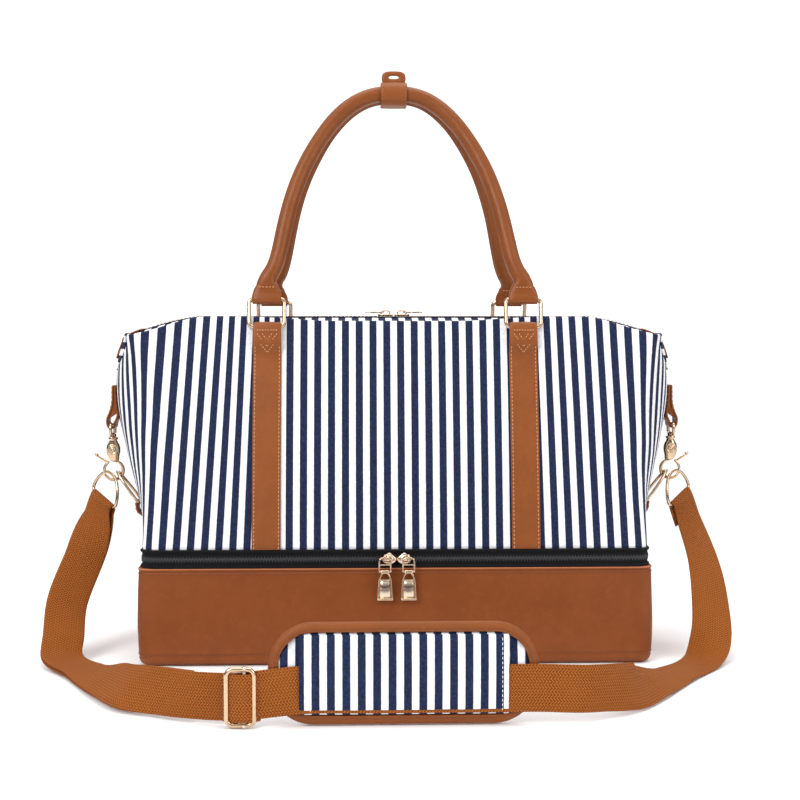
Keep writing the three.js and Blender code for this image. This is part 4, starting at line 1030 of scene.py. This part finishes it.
# ---- Zip sliders and pulls ----
def build_top_pulls():
    both = lambda half: np.array(half + [(a, -b) for a, b in half[::-1]])
    body = both([(-7.5, -3), (-5, -4.6), (3, -4.6), (7.5, -2.2)])
    plate = both([(6.3, -3.6), (8, -4.3), (17, -4.3), (18.6, -2.9)])
    inset = both([(9, -2.8), (16.4, -2.8)])
    for hand, side in LEFT_RIGHT:
        low, high = box(f"top_zip_{hand}_slider")
        middle = np.array([(low[0] + high[0]) / 2, 0, ZIP_TOP + 1.6])
        outline = rounded(body * (side, 1), 3, True)
        shape = Shape().plate(outline, middle, X, -Y, 1.9, 0.5)
        shape.tube(laid(loop_outline(4.5, 4.6, 1.8), middle + 0.8 * Z, X, Z), 0.75, 8, True, Y)
        shape.piece(f"top_slider_gold_{hand}", GOLD, f"top_slider_{hand}", f"top_zip_{hand}_slider")
        pivot, _ = joint(f"top_pull_{hand}_flap")
        pull = Shape().tube(laid(loop_outline(3.3, 7, 2.4, 6), pivot, Y, side * X), 0.8, 10, True, Z)
        pull.plate(plate * (side, 1), pivot - 0.8 * Z, X, -Y, 1.6, 0.35)
        pull.plate(inset * (side, 1), pivot + 0.5 * Z, X, -Y, 0.6, 0.2)
        pull.piece(f"top_pull_gold_{hand}", GOLD, f"top_pull_{hand}", f"top_zip_{hand}_pull")


def crossbar(pivot, half, z):
    """Three points of a bar that lies level across a pull."""
    return pivot + np.array([(a, 0, z) for a in (-half, 0, half)])


def build_lower_pulls():
    crown = np.array([(-7.6, -0.4), (-5.4, 2.2), (-3, 4.2), (0, 6.2), (3.2, 4.1), (6.4, 2.0), (7.4, -0.4),
                      (5.6, -3.6), (2.5, -5.2), (-2.5, -5.2), (-5.6, -3.6)])
    half_width = lambda share: 5.0 + 1.8 * share
    for hand, side in LEFT_RIGHT:
        low, high = box(f"lower_zip_{hand}_slider")
        link_pivot, _ = joint(f"lower_link_{hand}_flap")
        tab_pivot, _ = joint(f"lower_pull_{hand}_flap")
        x, z = 7.2 * side, (low[2] + high[2]) / 2
        shape = Shape().plate(crown * (side, 1), np.array([x, -114.4, z]), X, Z, 3.4, 0.9)
        shape.plate(crown * (side * 0.62, 0.6), np.array([x, -115.6, z + 0.4]), X, Z, 1.9, 0.8)
        bail = laid(loop_outline(2.9, 6.2, 1.8), (link_pivot[0], -113.5, link_pivot[2]), Z, -Y)
        shape.tube(bail, 0.95, 10, True, X)
        shape.piece(f"lower_slider_gold_{hand}", GOLD, f"lower_slider_{hand}", f"lower_zip_{hand}_slider")
        drop = link_pivot[2] - tab_pivot[2]
        half = [(-5.5, drop), (-5.4, 3.2), (-4.2, 1.1), (-2.2, 0)]
        outline = rounded([(a, 0, -b) for a, b in half + [(-a, b) for a, b in half[::-1]]], 4)
        foot = tab_pivot + np.array([(a, 0, 0) for a in (3.5, 0, -3.5)])
        link = Shape().tube(np.concatenate([link_pivot + outline, foot]), 0.85, 10, True, Y)
        link.tube(crossbar(link_pivot, 5.2, -drop * 0.5), 0.75, 8)
        link.piece(f"lower_link_gold_{hand}", GOLD, f"lower_link_{hand}", f"lower_zip_{hand}_link")
        length = tab_pivot[2] - box(f"lower_zip_{hand}_tab")[0][2]
        tab = Shape().tube(crossbar(tab_pivot, 3.2, 0), 2.0)
        for edge in (-1, 1):
            rail = [(2.0, -0.6), (4.6, -4.4), (half_width(0.3), -9), (half_width(0.7), -length * 0.7),
                    (half_width(1), 1 - length)]
            tab.tube(rounded(tab_pivot + np.array([(edge * a, 0, b) for a, b in rail]), 4), 1.0, 10)
        top, bottom = half_width(0.25), half_width(0.98)
        plate = [(-top, -8.4), (top, -8.4), (bottom, 1.2 - length), (-bottom, 1.2 - length)]
        tab.plate(plate, tab_pivot + 0.8 * Y, X, Z, 1.3, 0.2)
        tab.tube(crossbar(tab_pivot, half_width(1), 0.9 - length), 1.15, 10)
        tab.tube(crossbar(tab_pivot, top, -8.2), 0.9, 10)
        tab.piece(f"lower_tab_gold_{hand}", GOLD, f"lower_pull_{hand}", f"lower_zip_{hand}_tab")


# ---- Side tabs, D-rings and hooks, one side mirrored to the other ----
def mirrored(side, points):
    return np.asarray(points, float) * (side, 1, 1)


def build_end_tabs():
    for hand, side in LEFT_RIGHT:
        top = box(f"end_tab_{hand}")[1][2]
        eye, _ = joint(f"hook_{hand}_swing")
        eye_x, eye_z = abs(eye[0]), eye[2]
        lay = lambda z: side_at(z) + 1.6
        outer = [(lay(top) + 2.2, top), (lay(top - 8) + 2.5, top - 8), (lay(top - 17) + 3.2, top - 17),
                 (lerp(lay(eye_z + 14) + 3, eye_x + 3.6, 0.5), eye_z + 14), (eye_x + 3.9, eye_z + 6),
                 (eye_x + 4.1, eye_z + 0.5), (eye_x + 2.7, eye_z - 3.1), (eye_x, eye_z - 4.1),
                 (eye_x - 2.8, eye_z - 3.0), (eye_x - 3.7, eye_z + 1.5)]
        outer += [(lay(z), z) for z in (eye_z + 9, eye_z + 18, top - 8, top)]
        path = rounded([(x, 0, z) for x, z in outer], 5)
        outward = np.cross(directions(path), Y)
        shape = Shape().strap(mirrored(side, path), Y, mirrored(side, outward), 20, 1.9, crown=0.2)
        shape.piece(f"end_tab_leather_{hand}", STRAP_LEATHER, UPPER, f"end_tab_{hand}")
        wedge = np.concatenate([path[:22], path[-14:]])[:, ::2] * (side, 1)
        core = Shape().plate(wedge, -8.5 * Y, X, Z, 17, 0.1)
        core.piece(f"end_tab_core_{hand}", STRAP_LEATHER, UPPER)
        out = outward[:18] * np.sign(outward[5][0])
        face = path[:18] + out
        sewn = Shape()
        for across in (-7.8, 7.8):
            sewn.stitches(mirrored(side, face + across * Y), mirrored(side, out), radius=0.4)
        line = xyz(face[13][0], np.linspace(-6.5, 6.5, 6), face[13][2])
        sewn.stitches(mirrored(side, line), mirrored(side, out[13]), length=2, gap=1.1, radius=0.4)
        sewn.piece(f"end_tab_stitches_{hand}", PALE_THREAD, UPPER)


def build_lower_tabs():
    for hand, side in LEFT_RIGHT:
        low, high = box(f"lower_tab_{hand}")
        pivot, _ = joint(f"bag_ring_{hand}_swing")
        wide, foot = high[1] - low[1], low[2]
        root = lambda rise, proud=0.0: (side_at(foot + rise) + 1.5 + proud, foot + rise)
        px, pz = abs(pivot[0]), pivot[2]
        turn = [(-3.6, -9), (-3.1, -2), (-2.2, 2.4), (0, 3.2), (2.4, 2.2), (3.1, -1), (1.6, -9)]
        curve = [root(1), root(10), *((px + x, pz + z) for x, z in turn), root(14, 2.6), root(3, 2.3)]
        path = rounded([(x, 0, z) for x, z in curve], 5)
        outward = np.cross(Y, directions(path))
        shape = Shape().strap(mirrored(side, path), Y, mirrored(side, outward), wide, 1.8, crown=0.2)
        shape.piece(f"lower_tab_leather_{hand}", STRAP_LEATHER, UPPER, f"lower_tab_{hand}")
        sewn = Shape()
        out = xyz(np.abs(outward[-18:, 0]), 0, 0)
        for across in (-wide / 2 + 2, wide / 2 - 2):
            sewn.stitches(mirrored(side, path[-18:] + (1.1, across, 0)), mirrored(side, out))
        sewn.piece(f"lower_tab_stitches_{hand}", PALE_THREAD, UPPER)


def add_dee(bar, along, up, half, height):
    """A D-ring: a straight bar and a bow."""
    turn = np.linspace(0.02, 0.48, 34) * TURN
    bow = np.stack([half * np.cos(turn), height * np.sin(turn)], 1)
    straight = np.stack([np.linspace(-half + DEE_WIRE, half - DEE_WIRE, 9), np.zeros(9)], 1)
    flat = np.concatenate([straight, bow])
    smooth = flat.copy()
    for _ in range(2):
        smooth = (np.roll(smooth, 1, 0) + 2 * smooth + np.roll(smooth, -1, 0)) / 4
        smooth[2:7] = flat[2:7]
    return Shape().tube(laid(smooth, bar, along, up), DEE_WIRE, 12, True, np.cross(along, up))


def build_dees():
    for hand, side in LEFT_RIGHT:
        bar, _ = joint(f"bag_ring_{hand}_swing")
        rise = mirrored(side, BAG_DEE["rise"])
        shape = add_dee(bar, Y, unit(rise), BAG_DEE["half"], np.linalg.norm(rise))
        shape.piece(f"bag_ring_gold_{hand}", GOLD, f"bag_ring_{hand}", f"bag_d_ring_{hand}")
        bar, _ = joint(f"strap_ring_{hand}_swing")
        along, rise = unit(mirrored(side, STRAP_DEE["along"])), mirrored(side, STRAP_DEE["rise"])
        up = unit(rise / np.linalg.norm(rise) - along * (rise / np.linalg.norm(rise) @ along))
        shape = add_dee(bar, along, up, STRAP_DEE["half"], np.linalg.norm(rise))
        shape.piece(f"strap_ring_gold_{hand}", GOLD, f"strap_ring_{hand}", f"strap_d_ring_{hand}")


def arc_points(radius, start, end, count):
    """Points on an arc about the middle of the hook's jaw, in degrees from the outer side."""
    turn = np.radians(np.linspace(start, end, count))
    return xyz(radius * np.cos(turn), 0, radius * np.sin(turn))


def build_hooks():
    # Height above the jaw's middle, sideways shift, half width and half depth of the hook's body.
    stations = [(34.8, 0, 3.0, 3.0), (34.2, 0, 4.6, 4.0), (32.4, 0, 5.0, 4.3), (31.2, 0, 4.0, 3.6),
                (29.6, 0, 4.4, 3.7), (26.5, 0, 6.2, 4.1), (22.5, 0, 7.2, 4.3), (18.5, 0, 7.0, 4.2),
                (14.8, -0.2, 6.0, 3.7), (11.8, -0.8, 5.2, 3.1), (9.6, -1.6, 3.9, 2.4), (8.4, -2.4, 1.8, 1.4)]
    rivet = [(3.2, 5.4), (4.6, 5.4), (5.0, 5.0), (5.0, 4.3), (4.6, 4.1), (4.6, 3.3), (5.1, 3.0), (5.3, 2.2),
             (5.0, 1.7), (5.0, 0.9), (5.4, 0.5), (5.4, 0.05)]
    angle = np.arange(24) * TURN / 24
    jaw_radius = 1.25 + 0.6 * np.sin(np.linspace(0, math.pi, 46)).clip(0) ** 0.8
    for hand, side in LEFT_RIGHT:
        eye, _ = joint(f"hook_{hand}_swing")
        place = lambda points: mirrored(side, HOOK_CENTRE + np.asarray(points, float))
        loop = laid(loop_outline(13.2, 12, 4.5, 7), (abs(eye[0]), 0, eye[2] - 12), Y, Z)
        swivel = Shape().tube(mirrored(side, loop), 1.8, 12, True, X)
        top = eye[2] - 12 - HOOK_CENTRE[2]
        stem = [(33.5, 2.0), (top - 2.4, 2.0), (top - 1.6, 3.0), (top - 0.6, 3.9), (top + 0.8, 3.7),
                (top + 2.4, 2.6), (top + 2.6, 1.0)]
        swivel.lathe(stem, place((0.5, 0, 0)), Z, 20)
        swivel.piece(f"swivel_eye_gold_{hand}", GOLD, f"swivel_eye_{hand}", f"swivel_eye_{hand}")
        body = Shape().rings([place(xyz(x + a * np.cos(angle), b * np.sin(angle), z))
                              for z, x, a, b in rounded(stations, 3)])
        body.tube(place(arc_points(9.9, 100, 338, 46)), jaw_radius, normal=Y)
        for front in (-1, 1):
            body.lathe(rivet, place((0, 0, 22.0)), front * Y, 32)
        body.piece(f"snap_body_gold_{hand}", GOLD, f"snap_{hand}", f"snap_body_{hand}")
        gate = Shape().tube(place(arc_points(9.6, 52, -12, 16)), 1.4, 12, False, Y)
        lever = rounded([(5.4, 0, 8.2), (8.2, 0, 9.4), (11.4, 0, 11.6), (14.4, 0, 13.2), (16.6, 0, 15.4)], 4)
        gate.tube(place(lever), np.linspace(1.5, 1.0, len(lever)), 12)
        ball = [(-2.0 * math.cos(a), 2.0 * math.sin(a)) for a in np.linspace(0.1, math.pi - 0.1, 10)]
        gate.lathe(ball, place((17.2, 0, 16.0)), X + Z, 16)
        gate.piece(f"snap_gate_gold_{hand}", GOLD, f"gate_{hand}", f"snap_gate_{hand}")


# ---- Shoulder strap ----
def webbing_sections():
    """Centre, direction across, half width and outward direction at every section of the CAD webbing.

    The CAD webbing is a chain of four-cornered sections. The walk starts at its left end, whose four
    corners touch only four others, and steps from each section to the corners next to it.
    """
    work = bmesh.new()
    work.from_mesh(frame["nodes"]["shoulder_webbing"].data)
    bmesh.ops.remove_doubles(work, verts=work.verts, dist=0.00002)
    at = np.array([v.co for v in work.verts]) / METRE
    near = {v.index: {e.other_vert(v).index for e in v.link_edges} for v in work.verts}
    work.free()
    beyond = lambda group: set().union(*(near[v] for v in group)) - set(group)
    fours = [{v, *others} for v in near if len(near[v]) == 4 for others in itertools.combinations(near[v], 3)]
    ends = [group for group in fours if len(beyond(group)) == 4 and at[sorted(group)].mean(0)[0] < 0]
    flatness = lambda group: np.linalg.svd(at[sorted(group)] - at[sorted(group)].mean(0))[1][1:].sum()
    layer = min(ends, key=flatness)
    seen, sections = set(layer), []
    while layer:
        sections.append(at[sorted(layer)])
        layer = beyond(layer) - seen
        seen |= layer
    across, outward, found = None, None, []
    for corners in sections:
        centre = corners.mean(0)
        _, size, (long, short, _) = np.linalg.svd(corners - centre)
        if across is not None:
            long, short = long * np.sign(long @ across), short * np.sign(short @ outward)
        across, outward = long, short
        found.append((centre, across, size[0] / 2, outward))
    return [np.array(column) for column in zip(*found)]


def build_webbing():
    centres, across, half, outward = webbing_sections()
    count = int(lengths(centres)[-1] / 2.6)
    path, side, out, half = resample(centres, count, across, outward, half[:, None])
    side = unit(side)
    out = unit(out - side * np.sum(out * side, 1, keepdims=True))
    shape = Shape().strap(path, side, out, 2 * half[:, 0], WEBBING_THICKNESS, 11, 0.1)
    made = shape.piece("shoulder_webbing_cloth", WEBBING, None, "shoulder_webbing")
    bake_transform(made)


def build_adjuster():
    low, high = box("strap_adjuster")
    centre, y = (low[0] + high[0]) / 2, (low[1] + high[1]) / 2
    bar_x = centre + 3.5
    outline = loop_outline((high[0] - low[0]) / 2 - 2.4, high[2] - low[2] - 4.4, 5.5, 8)
    over = [(-14, 3.5), (-10, 1.5), (-6, -0.6), (-1, -2.2), (3.5, -2.7), (8, -1.8), (12, 0.8), (16, 3.6)]
    path = rounded([(centre + x, y + out, low[2] + 24.5) for x, out in over], 5)
    layer = Shape().strap(path, Z, np.cross(directions(path), Z), 40, WEBBING_THICKNESS, 11, 0.1)
    layer.piece("adjuster_webbing", WEBBING, "adjuster")
    shape = Shape().tube(laid(outline, (centre, y, low[2] + 2.2), X, Z), 2.15, 14, True, Y)
    shape.tube(xyz(bar_x, y, np.linspace(low[2] + 1, high[2] - 1, 5)), 1.5, 12)
    for z in (low[2] + 1.2, high[2] - 1.2):
        shape.lathe([(-1.4, 1.2), (-1.1, 2.3), (1.1, 2.3), (1.4, 1.2)], np.array([bar_x, y, z]), Z, 14)
    shape.piece("strap_adjuster_gold", GOLD, "adjuster", "strap_adjuster")


def pad_outline(inset, corner):
    """Rounded outline of the pad in X and Z, drawn in by a distance."""
    low, high = box("strap_pad")
    ring = loop_outline((high[0] - low[0]) / 2 - inset, high[2] - low[2] - 2 * inset, corner, 14)
    middle = ((low[0] + high[0]) / 2, low[2] + inset)
    return resample(np.concatenate([ring, ring[:1]]) + middle, 181)[:-1]


def applied(body):
    """The object's mesh with its modifiers applied."""
    return bpy.data.meshes.new_from_object(body.evaluated_get(bpy.context.evaluated_depsgraph_get()))


def stuffed(body, limit):
    """Points of a cushion that swells under pressure, none moving further than the limit on any axis."""
    cloth = body.modifiers.new("stuffing", "CLOTH")
    cloth.settings.use_pressure = True
    cloth.settings.uniform_pressure_force = 4
    cloth.settings.effector_weights.gravity = 0
    cloth.settings.quality = 5
    rest = np.array([v.co for v in body.data.vertices])
    for number in range(1, 21):
        bpy.context.scene.frame_set(number)
    moved = np.array([v.co for v in applied(body).vertices]) - rest
    body.modifiers.clear()
    bpy.context.scene.frame_set(1)
    return rest + np.clip(moved, -limit, limit)


def build_pad_cushion():
    low, high = box("strap_pad")
    work = Shape().plate(pad_outline(3.5, 33), (low[1] + 2.2) * Y, X, Z, high[1] - low[1] - 4.4, 1.0)
    body = work.piece("pad_cushion", PAD_CANVAS, "pad", "strap_pad")
    remesh = body.modifiers.new("even", "REMESH")
    remesh.mode, remesh.voxel_size = "VOXEL", 0.004
    body.data = applied(body)
    body.modifiers.clear()
    for vertex, place in zip(body.data.vertices, stuffed(body, np.array([0.002, 0.0024, 0.002]))):
        vertex.co = place
    smooth = body.modifiers.new("soften", "SUBSURF")
    smooth.levels = smooth.render_levels = 1
    body.data = applied(body)
    body.modifiers.clear()
    body.data.materials.clear()
    body.data.materials.append(PAD_CANVAS)
    at = np.array([v.co for v in body.data.vertices]) / METRE
    set_cloth(body.data, xyz(at[:, 0] - low[0], at[:, 2], at[:, 1]))
    body.data.shade_smooth()


def build_pad_binding():
    low, high = box("strap_pad")
    edge = pad_outline(2.6, 35)
    ring = xyz(edge[:, 0], (low[1] + high[1]) / 2, edge[:, 1])
    outward = np.cross(Y, directions(ring, True))
    outward *= np.sign(np.sum(outward * (ring - ring.mean(0)), 1, keepdims=True))
    deep = (high[1] - low[1]) / 2 - 0.6
    # Distance outwards and distance towards the back, round the folded leather.
    half = [(2.0, deep * 0.55), (0.6, deep - 0.6), (-2, deep + 0.4), (-4.9, deep + 0.5), (-5.8, deep)]
    inside = [(-5.2, deep - 1), (-1.5, 0), (-5.2, 1 - deep)]
    profile = np.array([(a, -b) for a, b in half[::-1]] + [(2.5, 0), *half, *inside])
    rings = ring[:, None] + outward[:, None] * profile[None, :, :1] + profile[None, :, 1:] * Y
    binding = Shape().add(rings, grid_faces(len(ring), len(profile), True, True),
                          xyz(profile[:, 0], lengths(ring)[:, None], 0))
    binding.piece("pad_binding", BINDING_LEATHER, "pad")
    for name, sign in FRONT_BACK:
        path = ring - outward * 3.4 + sign * (deep + 0.45) * Y
        sewn = Shape().stitches(np.concatenate([path, path[:1]]), sign * Y, length=2.2, gap=1.1, radius=0.36)
        sewn.piece(f"pad_binding_stitches_{name}", SEAM_THREAD, "pad")


def build_pad_sleeve():
    low, high = box("pad_sleeve")
    x, z = np.linspace(low[0], high[0], 75), np.linspace(low[2], high[2], 31)[:, None]
    across = np.abs(np.linspace(-1, 1, 31))[:, None]
    fold = 0.5 * ripple(xyz(x, 0, z), 22, 6.0) * (1 - across**4)
    y = box("strap_pad")[0][1] - 0.8 - 1.2 * smoothstep(1, 0.86, across) - 2.2 * (1 - across**2.2) + fold
    front = xyz(x, y, z)
    sleeve = Shape().sheet(front, 1.1, xyz(x - low[0], z, 0), -Y)
    sleeve.piece("pad_sleeve_cloth", PAD_CANVAS, "pad", "pad_sleeve")
    sewn = Shape()
    for end in (low[0] + 9.2, high[0] - 5.2):
        sewn.stitches(xyz(end, front[1:-1, 3, 1] - 0.1, z[1:-1, 0]), -Y, length=2.4, gap=1.4, radius=0.34)
    sewn.piece("pad_sleeve_stitches", WHITE_THREAD, "pad")


def build_board():
    """The stiffener keeps its CAD shape and gets its own board material."""
    board = frame["nodes"]["base_stiffener_board"]
    board.data.materials.clear()
    board.data.materials.append(BOARD)


# ---- Studio ----
def build_floor():
    """Pale paper that turns into even light away from the bag."""
    mesh = bpy.data.meshes.new("studio_floor")
    reach = 9
    corners = [(-reach, -reach, 0), (reach, -reach, 0), (reach, reach, 0), (-reach, reach, 0)]
    mesh.from_pydata(corners, [], [(0, 1, 2, 3)])
    floor = link("studio_floor", mesh)
    floor.location.z = -0.0005
    n = Nodes("studio_paper")
    n.finish(Base_Color=n.mix(n.noise(500, 2), srgb(252, 252, 252), srgb(255, 255, 255)), Roughness=1.0,
             Specular_IOR_Level=0.0)
    far = n.add("VectorMath", {0: n.where()}, operation="LENGTH").outputs["Value"]
    glow = n.add("Emission", {"Color": (1, 1, 1, 1), "Strength": 1.05})
    paper = next(node for node in n.tree.nodes if node.type == "BSDF_PRINCIPLED")
    output = next(node for node in n.tree.nodes if node.type == "OUTPUT_MATERIAL")
    blended = n.add("MixShader", {0: n.step(far, 0.45, 0.95), 1: paper.outputs[0], 2: glow.outputs[0]})
    n.tree.links.new(blended.outputs[0], output.inputs[0])
    mesh.materials.append(n.material)


def build_world():
    """The camera sees plain white; everything else is lit by a room that is darker near the floor."""
    world = bpy.data.worlds.new("studio_world")
    bpy.context.scene.world = world
    world.use_nodes = True
    tree = world.node_tree
    tree.nodes.clear()
    add = tree.nodes.new
    place, split, ramp = add("ShaderNodeTexCoord"), add("ShaderNodeSeparateXYZ"), add("ShaderNodeValToRGB")
    soft, plain, path = add("ShaderNodeBackground"), add("ShaderNodeBackground"), add("ShaderNodeLightPath")
    chosen, output = add("ShaderNodeMixShader"), add("ShaderNodeOutputWorld")
    for at, level in ((0.02, 0.16), (0.1, 0.1), (0.3, 0.42), (0.42, 0.9)):
        ramp.color_ramp.elements.new(at).color = (level, level, level * 1.01, 1)
    ramp.color_ramp.elements[0].color = (0.2, 0.19, 0.18, 1)
    ramp.color_ramp.elements[-1].color = (1, 1, 1, 1)
    soft.inputs[1].default_value = 0.74
    plain.inputs[0].default_value = (1, 1, 1, 1)
    plain.inputs[1].default_value = 1.3
    for source, target in ((place.outputs["Generated"], split.inputs[0]), (split.outputs[2], ramp.inputs[0]),
                           (ramp.outputs[0], soft.inputs[0]), (path.outputs[0], chosen.inputs[0]),
                           (soft.outputs[0], chosen.inputs[1]), (plain.outputs[0], chosen.inputs[2]),
                           (chosen.outputs[0], output.inputs[0])):
        tree.links.new(source, target)
    bpy.context.scene.view_settings.view_transform = "Standard"


def build_lights():
    aim = Vector((0, 0, 0.28))
    lamps = (("key", (-1.7, -2.4, 2.1), 1.5, 62), ("fill", (2.5, -2.1, 1.5), 1.8, 32),
             ("top", (0.1, 0.1, 2.8), 2.4, 42), ("rim", (0.3, 2.4, 1.6), 2.0, 26))
    for name, place, size, energy in lamps:
        data = bpy.data.lights.new(name, "AREA")
        data.shape, data.size, data.energy = "SQUARE", size, energy
        lamp = link(name, data)
        lamp.location = place
        lamp.rotation_euler = (aim - Vector(place)).to_track_quat("-Z", "Y").to_euler()


def build_camera():
    data = bpy.data.cameras.new("camera")
    data.lens, data.sensor_width = 62.8, 36
    camera = link("camera", data)
    camera.location = (-0.039, -1.45, 0.325)
    camera.rotation_euler = Vector((0.03152, 1, -0.05015)).to_track_quat("-Z", "Y").to_euler()
    bpy.context.scene.camera = camera


for build in (
    build_canvas, build_bag_lining, build_side_seams, build_top_panels, build_side_tongues, build_top_zip,
    build_base, build_divider, build_lower_zip, build_handle_straps, build_rings, build_handles,
    build_handle_wrap, build_top_pulls, build_lower_pulls, build_end_tabs, build_lower_tabs, build_dees,
    build_hooks, build_webbing, build_adjuster, build_pad_cushion, build_pad_binding, build_pad_sleeve,
    build_board, build_floor, build_world, build_lights, build_camera,
):
    build()
